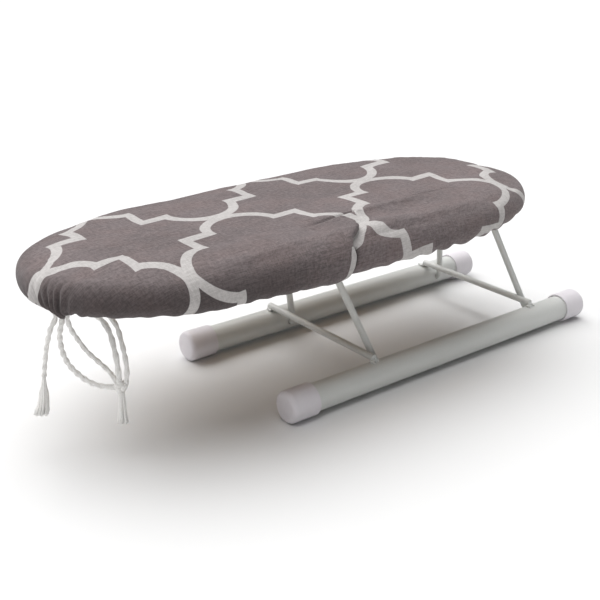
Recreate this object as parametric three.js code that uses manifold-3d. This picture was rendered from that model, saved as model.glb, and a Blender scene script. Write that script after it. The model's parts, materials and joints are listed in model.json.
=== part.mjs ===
// A tabletop sleeve ironing board, in millimetres, +Z up.
// The origin is on the standing plane, under the middle of the board and stand.
// The nose of the board points to -X and the tail to +X.
//
// Two floor tubes are joined by two welded cross bars. Two bent wire legs turn in holes in
// the tubes and in saddle clips under the panel, so that tubes, legs and board make a
// parallelogram that folds flat towards +X. Standing, the legs lean back towards the nose and
// the rear leg rests on the rear cross bar.

import * as THREE from 'three';
import { mergeVertices } from 'three/addons/utils/BufferGeometryUtils.js';
import Module from 'manifold-3d';

const GAP = 0.3;                 // clearance between touching pieces

// Floor frame
const TUBE_R = 9.5;
const TUBE_WALL = 1.0;
const TRACK = 118;               // between the two tube axes
const CAP_R = 11.1;
const CAP_LENGTH = 21.5;
const CAP_FLOOR = 2.2;
const CAP_ROUND = 3.5;
const BASE_FRONT = -76;          // outer faces of the end caps
const BASE_REAR = 214;
const ROUND_SIDES = 32;

// Wire parts
const WIRE_R = 2.4;
const WIRE_SIDES = 12;
const CROSS_BARS = [
  { name: 'front', x: 1.2, from: -57.5, to: 60.5 },
  { name: 'rear', x: 160.6, from: -58, to: 56 },
];
const LEGS = [
  { name: 'front', pivotX: 13.2 },
  { name: 'rear', pivotX: 170.4 },
];
const LEAN = THREE.MathUtils.degToRad(19);
const LEG_FOOT_Y = 47.6;         // corner of the leg at the pivot
const LEG_TOP_Y = 22.6;          // corner of the leg under the panel
const LEG_TIP_Y = 57;            // end of the wire inside the tube
const PIVOT_HOLE_R = 3;
const FOOT_BEND = 3.5;
const TOP_BEND = 9;

// Board stack
const NOSE_X = -214;
const TAIL_X = 172;
const NOSE_ROUND = 107;          // length of the rounded nose
const TAIL_ROUND = 134;          // length of the rounded tail
const NOSE_HALF_WIDTH = 76;
const TAIL_HALF_WIDTH = 80.5;
const TAIL_SQUARENESS = 2.5;     // exponent of the tail's superellipse
const BOARD_TOP = 121.5;
const BOARD_BOTTOM = 95.5;
const COVER_THICKNESS = 1.2;
const HEM_WIDTH = 19;            // how far the cover reaches under the panel
const PANEL_THICKNESS = 12;
const PANEL_INSET = 8;
const PANEL_BOTTOM = 100.3;
const QUARTER_STEPS = 11;
const ROLL_STEPS = 5;

// Saddle clips and screws
const CLIP_Y = 9;
const CLIP_WIDTH = 9;
const CLIP_THICKNESS = 1;
const CLIP_FLANGE = 6.4;
const SCREW_R = 1.5;
const SCREW_HEAD_R = 2.9;
const SCREW_HEAD_HEIGHT = 1.8;
const SCREW_LENGTH = 9;
const SCREW_SIDES = 12;

// Drawstring
const CORD_R = 1.5;
const CORD_SIDES = 8;
const STRING_INSET = 16.8;
const EXIT_ANGLE = 0.294;        // on the nose ellipse, towards -Y
const SLOT_INSET = 8;
const SLOT_LENGTH = 14;
const SLOT_WIDTH = 5;
const KNOT = [-179.5, -37.4, 50.4];
const KNOT_R = 3.8;

const TUBE_Z = CAP_R;
const BAR_Z = TUBE_Z + TUBE_R + GAP + WIRE_R;
const WIRE_TOP_Z = PANEL_BOTTOM - GAP - WIRE_R;
const LEG_LENGTH = (WIRE_TOP_Z - TUBE_Z) / Math.cos(LEAN);
const PANEL_TOP = PANEL_BOTTOM + PANEL_THICKNESS;

const MATERIALS = {
  paint: [0xb9bab7, 0.45, 0.3],
  cap: [0xbdb6bd, 0.5, 0],
  steel: [0xa8a8a6, 0.35, 0.9],
  panel: [0xa88a63, 0.85, 0],
  foam: [0xe6e2d6, 0.95, 0],
  cover: [0x877c7a, 0.9, 0],
  string: [0xd9d5cd, 0.9, 0],
};

const wasm = await Module();
wasm.setup();

const board = new THREE.Group();

function addMesh(name, geometry, look) {
  const [color, roughness, metalness] = MATERIALS[look];
  const mesh = new THREE.Mesh(geometry, new THREE.MeshStandardMaterial({ color, roughness, metalness }));
  mesh.name = name;
  board.add(mesh);
  return mesh;
}

// ---- solids ----------------------------------------------------------------

function toSolid(geometry) {
  const bare = geometry.clone();
  bare.deleteAttribute('normal');
  bare.deleteAttribute('uv');
  const merged = mergeVertices(bare, 1e-4);
  return new wasm.Manifold(new wasm.Mesh({
    numProp: 3,
    vertProperties: merged.attributes.position.array,
    triVerts: new Uint32Array(merged.index.array),
  }));
}

function toGeometry(solid) {
  const mesh = solid.getMesh();
  const geometry = new THREE.BufferGeometry();
  geometry.setAttribute('position', new THREE.BufferAttribute(mesh.vertProperties, 3));
  geometry.setIndex(new THREE.BufferAttribute(mesh.triVerts, 1));
  return geometry;
}

// A blank with every cutter taken away.
function cut(blank, cutters) {
  const solid = cutters.reduce((rest, cutter) => rest.subtract(toSolid(cutter)), toSolid(blank));
  return toGeometry(solid);
}

function polygon(radius, sides) {
  const points = [];
  for (let i = 0; i < sides; i += 1) {
    const angle = ((i + 0.5) / sides) * 2 * Math.PI;
    points.push(new THREE.Vector2(radius * Math.cos(angle), radius * Math.sin(angle)));
  }
  return points;
}

// A round bar along +Z from z = low to z = high, with a flat facet at each side.
function bar(radius, low, high, sides) {
  const shape = new THREE.Shape(polygon(radius, sides));
  return new THREE.ExtrudeGeometry(shape, { depth: high - low, bevelEnabled: false }).translate(0, 0, low);
}

// A lathe turned about X: the profile is a list of [x, radius] with both ends on the axis.
// Radii are those of the flats, so that a flat facet faces straight down.
function turnedAboutX(profile, sides) {
  const corner = 1 / Math.cos(Math.PI / sides);
  const points = profile.map(([x, radius]) => new THREE.Vector2(radius * corner, x));
  return new THREE.LatheGeometry(points, sides, Math.PI / sides).rotateZ(-Math.PI / 2);
}

// A route through given corners, which meets each of them at one step of the extrusion.
class Route extends THREE.Curve {
  constructor(points, closed = false) {
    super();
    this.points = points;
    this.closed = closed;
  }

  get steps() {
    return this.closed ? this.points.length : this.points.length - 1;
  }

  at(index) {
    const count = this.points.length;
    if (this.closed) return this.points[((index % count) + count) % count];
    return this.points[THREE.MathUtils.clamp(index, 0, count - 1)];
  }

  getPoint(t, target = new THREE.Vector3()) {
    const place = t * this.steps;
    const index = Math.floor(place);
    return target.lerpVectors(this.at(index), this.at(index + 1), place - index);
  }

  getPointAt(t, target) {
    return this.getPoint(t, target);
  }

  // At a corner the tangent halves the turn.
  getTangentAt(t, target = new THREE.Vector3()) {
    const index = Math.round(t * this.steps);
    const before = this.at(index).clone().sub(this.at(index - 1)).normalize();
    const after = this.at(index + 1).clone().sub(this.at(index)).normalize();
    return target.copy(before.add(after)).normalize();
  }
}

function rod(route, radius, sides) {
  const shape = new THREE.Shape(polygon(radius, sides));
  return new THREE.ExtrudeGeometry(shape, { steps: route.steps, extrudePath: route });
}

// Corners [u, v, bend radius] in a plane, with each bend as an arc of short steps.
function bentLine(corners, stepAngle) {
  const line = [];
  corners.forEach(([u, v, bend], i) => {
    const here = new THREE.Vector2(u, v);
    if (!bend) {
      line.push(here);
      return;
    }
    const back = new THREE.Vector2(...corners[i - 1]).sub(here).normalize();
    const on = new THREE.Vector2(...corners[i + 1]).sub(here).normalize();
    const half = Math.acos(back.dot(on)) / 2;
    const centre = back.clone().add(on).normalize().multiplyScalar(bend / Math.sin(half)).add(here);
    const first = here.clone().addScaledVector(back, bend / Math.tan(half)).sub(centre);
    const last = here.clone().addScaledVector(on, bend / Math.tan(half)).sub(centre);
    const turn = Math.atan2(first.cross(last), first.dot(last));
    const steps = Math.ceil(Math.abs(turn) / stepAngle);
    for (let k = 0; k <= steps; k += 1) {
      line.push(first.clone().rotateAround(new THREE.Vector2(), (turn * k) / steps).add(centre));
    }
  });
  return line;
}

// ---- board outline -----------------------------------------------------------

// A point and its outward normal on a quarter of a superellipse, from its tip to its side.
function quarter(angle, length, halfWidth, squareness) {
  const c = Math.cos(angle) ** (2 / squareness);
  const s = Math.sin(angle) ** (2 / squareness);
  const normal = new THREE.Vector2(
    c ** (squareness - 1) / length,
    s ** (squareness - 1) / halfWidth,
  ).normalize();
  return { point: new THREE.Vector2(c * length, s * halfWidth), normal };
}

// The outline near the nose or the tail, on the side of +Y (1) or -Y (-1).
function outlinePoint(end, side, angle) {
  const local = end === 'nose'
    ? quarter(angle, NOSE_ROUND, NOSE_HALF_WIDTH, 2)
    : quarter(angle, TAIL_ROUND, TAIL_HALF_WIDTH, TAIL_SQUARENESS);
  const flip = new THREE.Vector2(end === 'nose' ? -1 : 1, side);
  const centre = end === 'nose' ? NOSE_X + NOSE_ROUND : TAIL_X - TAIL_ROUND;
  const point = local.point.multiply(flip);
  point.x += centre;
  return { point, normal: local.normal.multiply(flip) };
}

// Outline points moved inwards by inset, anticlockwise from the tip of the tail.
function outline(inset) {
  const angles = [];
  for (let i = 0; i <= QUARTER_STEPS; i += 1) {
    angles.push((i / QUARTER_STEPS) * (Math.PI / 2));
  }
  const back = [...angles].reverse();
  const places = [
    ...angles.map((angle) => outlinePoint('tail', 1, angle)),
    ...back.map((angle) => outlinePoint('nose', 1, angle)),
    ...angles.slice(1).map((angle) => outlinePoint('nose', -1, angle)),
    ...back.slice(0, -1).map((angle) => outlinePoint('tail', -1, angle)),
  ];
  return places.map(({ point, normal }) => point.addScaledVector(normal, -inset));
}

// A slab of the board's outline with fully rounded sides.
function roundedSlab(inset, low, high) {
  const roll = (high - low) / 2 - 0.05;
  const shape = new THREE.Shape(outline(inset + roll));
  const depth = high - low - 2 * roll;
  const slab = new THREE.ExtrudeGeometry(shape, {
    depth,
    bevelThickness: roll,
    bevelSize: roll,
    bevelSegments: ROLL_STEPS,
  });
  return slab.translate(0, 0, low + roll);
}

// A slab of the board's outline with straight sides.
function straightSlab(inset, low, high) {
  const shape = new THREE.Shape(outline(inset));
  return new THREE.ExtrudeGeometry(shape, { depth: high - low, bevelEnabled: false }).translate(0, 0, low);
}

// ---- floor frame -------------------------------------------------------------

function floorTube(side) {
  const y = (side * TRACK) / 2;
  const low = BASE_FRONT + CAP_FLOOR + GAP;
  const high = BASE_REAR - CAP_FLOOR - GAP;
  const corner = 1 / Math.cos(Math.PI / ROUND_SIDES);
  const shape = new THREE.Shape(polygon(TUBE_R * corner, ROUND_SIDES));
  shape.holes.push(new THREE.Path(polygon((TUBE_R - TUBE_WALL) * corner, ROUND_SIDES)));
  const blank = new THREE.ExtrudeGeometry(shape, { depth: high - low, bevelEnabled: false });
  blank.rotateY(Math.PI / 2).translate(low, 0, 0);
  const holes = LEGS.map(({ pivotX }) => {
    const drill = bar(PIVOT_HOLE_R, 0, TUBE_R + 2, WIRE_SIDES);
    return drill.rotateX((side * Math.PI) / 2).translate(pivotX, 0, 0);
  });
  return cut(blank, holes).translate(0, y, TUBE_Z);
}

// Closed at x = 0, open towards +X.
function endCap() {
  const profile = [[0, 0]];
  const arcSteps = 4;
  for (let k = 0; k <= arcSteps; k += 1) {
    const angle = (k / arcSteps) * (Math.PI / 2);
    profile.push([
      CAP_ROUND * (1 - Math.sin(angle)),
      CAP_R - CAP_ROUND * (1 - Math.cos(angle)),
    ]);
  }
  profile.splice(1, arcSteps + 1, ...profile.slice(1).reverse());
  const bore = TUBE_R + GAP;
  profile.push([CAP_LENGTH, CAP_R], [CAP_LENGTH, bore], [CAP_FLOOR, bore], [CAP_FLOOR, 0]);
  return turnedAboutX(profile, ROUND_SIDES);
}

function buildFloorFrame() {
  for (const [name, side] of [['near', -1], ['far', 1]]) {
    const y = (side * TRACK) / 2;
    addMesh(`tube_${name}`, floorTube(side), 'paint');
    const front = addMesh(`cap_front_${name}`, endCap(), 'cap');
    front.position.set(BASE_FRONT, y, TUBE_Z);
    const rear = addMesh(`cap_rear_${name}`, endCap(), 'cap');
    rear.rotation.z = Math.PI;
    rear.position.set(BASE_REAR, y, TUBE_Z);
  }
  for (const { name, x, from, to } of CROSS_BARS) {
    const crossBar = bar(WIRE_R, -to, -from, WIRE_SIDES).rotateX(Math.PI / 2);
    addMesh(`cross_bar_${name}`, crossBar, 'paint').position.set(x, 0, BAR_Z);
  }
}

// ---- legs --------------------------------------------------------------------

// A bent wire frame in its own plane: y across, z up from the pivot axis.
function legWire() {
  const corners = [
    [-LEG_TIP_Y, 0, 0],
    [-LEG_FOOT_Y, 0, FOOT_BEND],
    [-LEG_TOP_Y, LEG_LENGTH, TOP_BEND],
    [LEG_TOP_Y, LEG_LENGTH, TOP_BEND],
    [LEG_FOOT_Y, 0, FOOT_BEND],
    [LEG_TIP_Y, 0, 0],
  ];
  const line = bentLine(corners, THREE.MathUtils.degToRad(16));
  return rod(new Route(line.map((p) => new THREE.Vector3(0, p.x, p.y))), WIRE_R, WIRE_SIDES);
}

function buildLegs() {
  for (const { name, pivotX } of LEGS) {
    const leg = addMesh(`leg_${name}`, legWire(), 'paint');
    leg.rotation.y = -LEAN;
    leg.position.set(pivotX, 0, TUBE_Z);
  }
}

// ---- board -------------------------------------------------------------------

// Where each saddle clip holds a leg, and where its two screws go.
function clipPlaces() {
  const places = [];
  for (const { name: leg, pivotX } of LEGS) {
    for (const [sideName, side] of [['near', -1], ['far', 1]]) {
      const x = pivotX - LEG_LENGTH * Math.sin(LEAN);
      places.push({ name: `${leg}_${sideName}`, x, y: side * CLIP_Y });
    }
  }
  return places;
}

const SADDLE_R = WIRE_R + GAP;
const SCREW_OFFSET = SADDLE_R + CLIP_THICKNESS + CLIP_FLANGE / 2;

function screwPlaces(clip) {
  return [
    { name: `${clip.name}_a`, x: clip.x - SCREW_OFFSET, y: clip.y },
    { name: `${clip.name}_b`, x: clip.x + SCREW_OFFSET, y: clip.y },
  ];
}

// A strap bent round the wire, with a flange each side; z = 0 is the wire's axis.
function saddleClip() {
  const outer = SADDLE_R + CLIP_THICKNESS;
  const top = WIRE_R;
  const reach = outer + CLIP_FLANGE;
  const shape = new THREE.Shape();
  shape.moveTo(-reach, top);
  shape.lineTo(-reach, top - CLIP_THICKNESS);
  shape.lineTo(-outer, top - CLIP_THICKNESS);
  shape.lineTo(-outer, 0);
  shape.absarc(0, 0, outer, Math.PI, 2 * Math.PI, false);
  shape.lineTo(outer, top - CLIP_THICKNESS);
  shape.lineTo(reach, top - CLIP_THICKNESS);
  shape.lineTo(reach, top);
  shape.lineTo(SADDLE_R, top);
  shape.lineTo(SADDLE_R, 0);
  shape.absarc(0, 0, SADDLE_R, 2 * Math.PI, Math.PI, true);
  shape.lineTo(-SADDLE_R, top);
  const strap = new THREE.ExtrudeGeometry(shape, { depth: CLIP_WIDTH, bevelEnabled: false, curveSegments: 10 });
  strap.translate(0, 0, -CLIP_WIDTH / 2).rotateX(Math.PI / 2);
  const holes = [-SCREW_OFFSET, SCREW_OFFSET].map((x) => (
    bar(SCREW_R + GAP, 0, top + 1, SCREW_SIDES).translate(x, 0, 0)
  ));
  return cut(strap, holes);
}

// A pan-head screw pointing up; z = 0 is the underside of its head's seat.
function panScrew() {
  const profile = [
    [0, -SCREW_HEAD_HEIGHT],
    [SCREW_HEAD_R * 0.6, -SCREW_HEAD_HEIGHT],
    [SCREW_HEAD_R, -SCREW_HEAD_HEIGHT * 0.45],
    [SCREW_HEAD_R, 0],
    [SCREW_R, 0],
    [SCREW_R, SCREW_LENGTH - 2 * SCREW_R],
    [0, SCREW_LENGTH],
  ];
  const points = profile.map(([radius, z]) => new THREE.Vector2(radius, z));
  return new THREE.LatheGeometry(points, SCREW_SIDES).rotateX(Math.PI / 2);
}

function buildClips() {
  const seat = PANEL_BOTTOM - GAP - CLIP_THICKNESS - GAP;
  for (const clip of clipPlaces()) {
    addMesh(`clip_${clip.name}`, saddleClip(), 'steel').position.set(clip.x, clip.y, WIRE_TOP_Z);
    for (const screw of screwPlaces(clip)) {
      addMesh(`screw_${screw.name}`, panScrew(), 'steel').position.set(screw.x, screw.y, seat);
    }
  }
}

function buildPanel() {
  const pilots = clipPlaces().flatMap(screwPlaces).map(({ x, y }) => (
    bar(SCREW_R + GAP, PANEL_BOTTOM - 1, PANEL_BOTTOM + SCREW_LENGTH, SCREW_SIDES).translate(x, y, 0)
  ));
  addMesh('board_panel', cut(straightSlab(PANEL_INSET, PANEL_BOTTOM, PANEL_TOP), pilots), 'panel');
}

// Foam over the panel and down round its edge, open below.
function buildPad() {
  const inset = COVER_THICKNESS + GAP;
  const blank = roundedSlab(inset, BOARD_BOTTOM + inset, BOARD_TOP - inset);
  const below = straightSlab(-5, BOARD_BOTTOM - 5, PANEL_BOTTOM);
  const pocket = straightSlab(PANEL_INSET - GAP, PANEL_BOTTOM - 1, PANEL_TOP + GAP);
  addMesh('foam_pad', cut(blank, [below, pocket]), 'foam');
}

// A thin shell over the pad that turns in under the panel, with a slot for the drawstring.
function buildCover() {
  const t = COVER_THICKNESS;
  const { point, normal } = outlinePoint('nose', -1, EXIT_ANGLE);
  const middle = point.clone().addScaledVector(normal, -SLOT_INSET);
  const slot = new THREE.BoxGeometry(SLOT_WIDTH, SLOT_LENGTH, 8);
  slot.rotateZ(Math.atan2(normal.y, normal.x)).translate(middle.x, middle.y, BOARD_BOTTOM);
  const hollow = roundedSlab(t, BOARD_BOTTOM + t, BOARD_TOP - t);
  const opening = straightSlab(HEM_WIDTH, BOARD_BOTTOM - 5, BOARD_BOTTOM + 5);
  addMesh('cover', cut(roundedSlab(0, BOARD_BOTTOM, BOARD_TOP), [hollow, opening, slot]), 'cover');
}

// ---- drawstring --------------------------------------------------------------

// The string lies in the hem all round, with a break at the exit slot.
function buildHemString() {
  const z = BOARD_BOTTOM + COVER_THICKNESS + GAP + CORD_R;
  const { point } = outlinePoint('nose', -1, EXIT_ANGLE);
  const ring = outline(STRING_INSET);
  const clear = ring.map((p) => p.distanceTo(point) > STRING_INSET + 5);
  const start = clear.findIndex((ok, i) => ok && !clear[(i + ring.length - 1) % ring.length]);
  const route = [];
  for (let i = 0; i < ring.length; i += 1) {
    const index = (start + i) % ring.length;
    if (clear[index]) route.push(new THREE.Vector3(ring[index].x, ring[index].y, z));
  }
  addMesh('drawstring_hem', rod(new Route(route), CORD_R, CORD_SIDES), 'string');
}

// Free stretches of string below the nose: a hanging end and four strands that meet in a knot.
const STRANDS = {
  cord_end: [
    [-204.5, -14.2, 97], [-204.7, -14.1, 92], [-208, -13.5, 86], [-210.6, -12.6, 77], [-212.4, -11.8, 67],
    [-213.6, -11, 57.5],
  ],
  cord_a: [
    [-202, -17.7, 97], [-202.3, -17.8, 92], [-204.4, -17.4, 83], [-204.2, -18, 74], [-202.3, -19.6, 66],
    [-199, -22.2, 60], [-194.4, -25.8, 54.6], [-189, -30, 51.2], [-183, -34.7, 50.2],
  ],
  cord_b: [
    [-200.4, -21.1, 97], [-200.4, -21.2, 92], [-198.7, -21.4, 85.8], [-195, -22.7, 77.8], [-191.3, -24.3, 71],
    [-185.7, -27.5, 63.5], [-181.8, -30.4, 58], [-180, -34.2, 53.4],
  ],
  cord_c: [
    [-188.6, -15.6, 98.3], [-186.6, -18, 95.2], [-183.2, -21.8, 91.2], [-180.7, -25, 87.8], [-179.1, -29.4, 81.4],
    [-179, -33.3, 72.7], [-179.1, -35.8, 64.7], [-179.4, -37.3, 54.7],
  ],
  cord_d: [
    [-182.6, -20.2, 98.3], [-180.4, -22.8, 94.8], [-177.1, -27.2, 90.1], [-175, -30.7, 84.8], [-174.7, -34.8, 75.7],
    [-174.9, -37.9, 68], [-175.2, -39.6, 60.4], [-176.2, -39.5, 52.9],
  ],
};

// A frayed end: a cone that widens downwards from one point to another.
function tassel(top, bottom, topRadius, bottomRadius) {
  const length = top.distanceTo(bottom);
  const profile = [[0, 0], [bottomRadius, 0], [topRadius, length], [0, length]];
  const cone = new THREE.LatheGeometry(profile.map(([r, z]) => new THREE.Vector2(r, z)), CORD_SIDES);
  const turn = new THREE.Quaternion().setFromUnitVectors(
    new THREE.Vector3(0, 1, 0),
    top.clone().sub(bottom).normalize(),
  );
  return cone.applyQuaternion(turn).translate(bottom.x, bottom.y, bottom.z);
}

function buildDrawstring() {
  buildHemString();
  for (const [name, points] of Object.entries(STRANDS)) {
    const route = new Route(points.map((p) => new THREE.Vector3(...p)));
    addMesh(name, rod(route, CORD_R, CORD_SIDES), 'string');
  }
  const knot = new THREE.Vector3(...KNOT);
  addMesh('knot', new THREE.SphereGeometry(KNOT_R, 12, 8), 'string').position.copy(knot);
  const endTop = new THREE.Vector3(...STRANDS.cord_end.at(-1)).add(new THREE.Vector3(-0.04, 0.02, -0.32));
  const endTassel = tassel(endTop, new THREE.Vector3(-216.2, -9.2, 35), 1.5, 4.4);
  addMesh('tassel_end', endTassel, 'string');
  const knotTop = knot.clone().add(new THREE.Vector3(0, 0, -KNOT_R - GAP));
  const knotTassel = tassel(knotTop, new THREE.Vector3(-178.9, -37.9, 27), 1.5, 3.6);
  addMesh('tassel_knot', knotTassel, 'string');
}

buildFloorFrame();
buildLegs();
buildPanel();
buildPad();
buildCover();
buildClips();
buildDrawstring();

export default board;
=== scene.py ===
"""A tabletop sleeve ironing board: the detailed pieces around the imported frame.

Lengths in this file are millimetres unless a comment says metres, and each mesh is scaled to
metres as it is made.
+X runs from the nose of the board to its tail, -Y is the near side and +Z is up.
"""

import json
import math

import bmesh
import bpy
import numpy as np
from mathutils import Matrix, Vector, kdtree, noise
from mathutils.geometry import delaunay_2d_cdt


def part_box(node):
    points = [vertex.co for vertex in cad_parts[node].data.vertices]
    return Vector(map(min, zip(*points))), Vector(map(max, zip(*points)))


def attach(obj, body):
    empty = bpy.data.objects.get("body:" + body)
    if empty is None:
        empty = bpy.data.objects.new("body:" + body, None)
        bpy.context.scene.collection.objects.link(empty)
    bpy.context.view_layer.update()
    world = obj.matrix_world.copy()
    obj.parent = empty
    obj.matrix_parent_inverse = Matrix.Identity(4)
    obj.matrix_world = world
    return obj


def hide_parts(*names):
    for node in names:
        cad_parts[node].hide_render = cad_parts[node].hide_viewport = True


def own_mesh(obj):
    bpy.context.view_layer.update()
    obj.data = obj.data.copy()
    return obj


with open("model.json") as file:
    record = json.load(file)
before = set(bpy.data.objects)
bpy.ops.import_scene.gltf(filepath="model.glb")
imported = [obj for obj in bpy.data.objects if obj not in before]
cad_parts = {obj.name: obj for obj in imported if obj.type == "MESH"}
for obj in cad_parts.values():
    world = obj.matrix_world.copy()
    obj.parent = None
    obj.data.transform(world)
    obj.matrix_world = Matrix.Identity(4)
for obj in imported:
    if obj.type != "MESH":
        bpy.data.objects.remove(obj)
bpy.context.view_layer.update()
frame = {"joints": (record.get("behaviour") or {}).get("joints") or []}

MM = 0.001
X, Y, Z = range(3)

# ---- sizes from the frame ----


def span(node, axis):
    """A CAD node's lowest and highest place along an axis."""
    return [round(corner[axis] / MM, 2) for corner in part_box(node)]


def middle_and_half(node, axis):
    """The middle of a CAD node along an axis, and half its size there."""
    low, high = span(node, axis)
    return round((low + high) / 2, 2), round((high - low) / 2, 2)


JOINT_PLACES = {
    joint["name"]: [round(x / MM, 2) for x in joint["pos_m"]] for joint in frame["joints"]
}
LEG_PIVOTS = {"front": JOINT_PLACES["fold"][X], "rear": JOINT_PLACES["rear_leg_pivot"][X]}
WIRE_TOP_Z = JOINT_PLACES["board_pivot"][Z]
BOARD_UNDERSIDE, BOARD_TOP = span("cover", Z)
PANEL_LOW, PANEL_HIGH = span("board_panel", Z)
TUBE_Z, TUBE_R = middle_and_half("tube_near", Z)
HALF_TRACK = -middle_and_half("tube_near", Y)[0]
BASE_FRONT, BASE_REAR = span("cap_front_near", X)[0], span("cap_rear_near", X)[1]
CAP_R = middle_and_half("cap_front_near", Z)[1]
CAP_LENGTH = 2 * middle_and_half("cap_front_near", X)[1]
LEG_TIP_Y = span("leg_front", Y)[1]
BAR_Z = middle_and_half("cross_bar_front", Z)[0]
BARS = {
    end: (middle_and_half("cross_bar_" + end, X)[0], *span("cross_bar_" + end, Y))
    for end in ("front", "rear")
}
CLIP_Y, CLIP_HALF = middle_and_half("clip_front_far", Y)

# ---- camera ----

# In metres.
CAMERA_PLACE = (-0.4245, -0.5192, 0.3212)
CAMERA_TARGET = (-0.0173, 0.0, 0.0518)
CAMERA_LENS = 61.43


def add_object(name, data):
    made = bpy.data.objects.new(name, data)
    bpy.context.scene.collection.objects.link(made)
    return made


def aim(thing, towards):
    """Turns a camera or a light to face along a direction."""
    thing.rotation_mode = "QUATERNION"
    thing.rotation_quaternion = Vector(towards).to_track_quat("-Z", "Y")


def make_camera():
    data = bpy.data.cameras.new("camera")
    data.lens = CAMERA_LENS
    data.clip_start = 0.02
    camera = add_object("camera", data)
    camera.location = CAMERA_PLACE
    aim(camera, Vector(CAMERA_TARGET) - Vector(CAMERA_PLACE))
    bpy.context.scene.camera = camera


make_camera()

# ---- meshes ----


def make_mesh(name, points, faces):
    """A smooth mesh in metres from points in millimetres."""
    mesh = bpy.data.meshes.new(name)
    mesh.from_pydata((np.asarray(points, float) * MM).tolist(), [], [list(f) for f in faces])
    mesh.validate()
    mesh.polygons.foreach_set("use_smooth", [True] * len(mesh.polygons))
    mesh.update()
    return mesh


def make_piece(name, shape, body, finish, *nodes):
    """A shown object that rides on a body and stands for CAD nodes.

    shape is its points and faces, and finish is a record slot and a material; only the material is used.
    """
    slot, material = finish
    piece = add_object(name, make_mesh(name, *shape))
    piece.data.materials.append(material)
    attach(piece, body)
    if nodes:
        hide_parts(*nodes)
    return piece


def bake_modifiers(piece):
    """Applies a piece's modifiers to its mesh."""
    graph = bpy.context.evaluated_depsgraph_get()
    mesh = bpy.data.meshes.new_from_object(piece.evaluated_get(graph))
    piece.modifiers.clear()
    piece.data = mesh


def sharpen(piece, degrees):
    """Edges that turn by more than an angle are shaded sharp."""
    piece.data.set_sharp_from_angle(angle=math.radians(degrees))


def grid_faces(rows, columns, loop_rows=False, loop_columns=False):
    """Quads of a grid of points stored row by row."""
    faces = []
    for i in range(rows if loop_rows else rows - 1):
        for j in range(columns if loop_columns else columns - 1):
            k, l = (i + 1) % rows, (j + 1) % columns
            faces.append((i * columns + j, i * columns + l, k * columns + l, k * columns + j))
    return faces


def join_parts(parts):
    """One list of points and faces from several."""
    points, faces, start = [], [], 0
    for part_points, part_faces in parts:
        points.append(np.asarray(part_points, float))
        faces += [tuple(i + start for i in face) for face in part_faces]
        start += len(part_points)
    return np.concatenate(points), faces


def unit(v):
    return v / np.maximum(np.linalg.norm(v, axis=-1, keepdims=True), 1e-12)


def smooth_step(low, high, x):
    """0 at low and 1 at high, smooth between them."""
    f = np.clip((np.asarray(x, float) - low) / (high - low), 0, 1)
    return f * f * (3 - 2 * f)


def hump(x, centre, width):
    """1 at the centre, falling off smoothly to both sides."""
    return np.exp(-(((x - centre) / width) ** 2))


def circle(sides):
    """Evenly spaced angles, once round."""
    return np.arange(sides) / sides * 2 * math.pi


def quarter(steps):
    """Evenly spaced angles from 0 to a right angle."""
    return [k / steps * math.pi / 2 for k in range(steps + 1)]


def distances(line):
    """How far along a line each of its points is."""
    return np.concatenate([[0], np.cumsum(np.linalg.norm(np.diff(line, axis=0), axis=1))])


def interpolate(at, along, values, period=None):
    """The rows of values, which are given at the distances along, at other distances."""
    return np.stack([np.interp(at, along, column, period=period) for column in values.T], axis=1)


def spaced_route(points, step):
    """Points about step apart on a smooth curve through the given ones."""
    p = np.asarray(points, float)
    p = np.vstack([2 * p[0] - p[1], p, 2 * p[-1] - p[-2]])
    fine = []
    for i in range(1, len(p) - 2):
        for f in np.linspace(0, 1, 24, endpoint=False):
            a, b, c, d = p[i - 1:i + 3]
            fine.append(0.5 * (2 * b + (c - a) * f + (2 * a - 5 * b + 4 * c - d) * f**2
                               + (3 * b - a - 3 * c + d) * f**3))
    fine = np.array(fine + [p[-2]])
    along = distances(fine)
    places = np.linspace(0, along[-1], max(3, int(round(along[-1] / step)) + 1))
    return interpolate(places, along, fine)


def end_fans(count, sides):
    """Triangles that close count rings of sides points, with the two end points stored after them."""
    last = (count - 1) * sides
    faces = []
    for j in range(sides):
        k = (j + 1) % sides
        faces.append((count * sides, k, j))
        faces.append((count * sides + 1, last + j, last + k))
    return faces


def sweep(route, radius, sides, closed=False, first_side=(0, 0, 1)):
    """A tube along a route. radius is a number or a function of (angles, distance along)."""
    route = np.asarray(route, float)
    count = len(route)
    if closed:
        tangents = unit(np.roll(route, -1, axis=0) - np.roll(route, 1, axis=0))
    else:
        tangents = unit(np.gradient(route, axis=0))
    along = distances(route)
    side = np.array(first_side, float)
    if abs(side @ tangents[0]) > 0.9:
        side = np.array([1.0, 0, 0])
    angles = circle(sides)
    points = []
    for i in range(count):
        side = unit(side - (side @ tangents[i]) * tangents[i])
        other = np.cross(tangents[i], side)
        r = radius(angles, along[i]) if callable(radius) else np.full(sides, float(radius))
        points.append(route[i] + np.outer(r * np.cos(angles), side) + np.outer(r * np.sin(angles), other))
    points = np.concatenate(points)
    faces = grid_faces(count, sides, loop_rows=closed, loop_columns=True)
    if not closed:
        points = np.vstack([points, route[0], route[-1]])
        faces += end_fans(count, sides)
    return points, faces


def lathe(profile, sides):
    """A profile of (x, radius) turned about X; both of its ends are on the axis."""
    angles = circle(sides)
    rings = [np.stack([np.full(sides, x), r * np.cos(angles), r * np.sin(angles)], axis=1)
             for x, r in profile[1:-1]]
    points = np.vstack([np.concatenate(rings), [profile[0][0], 0, 0], [profile[-1][0], 0, 0]])
    faces = grid_faces(len(rings), sides, loop_columns=True) + end_fans(len(rings), sides)
    return points, [face[::-1] for face in faces]


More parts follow.
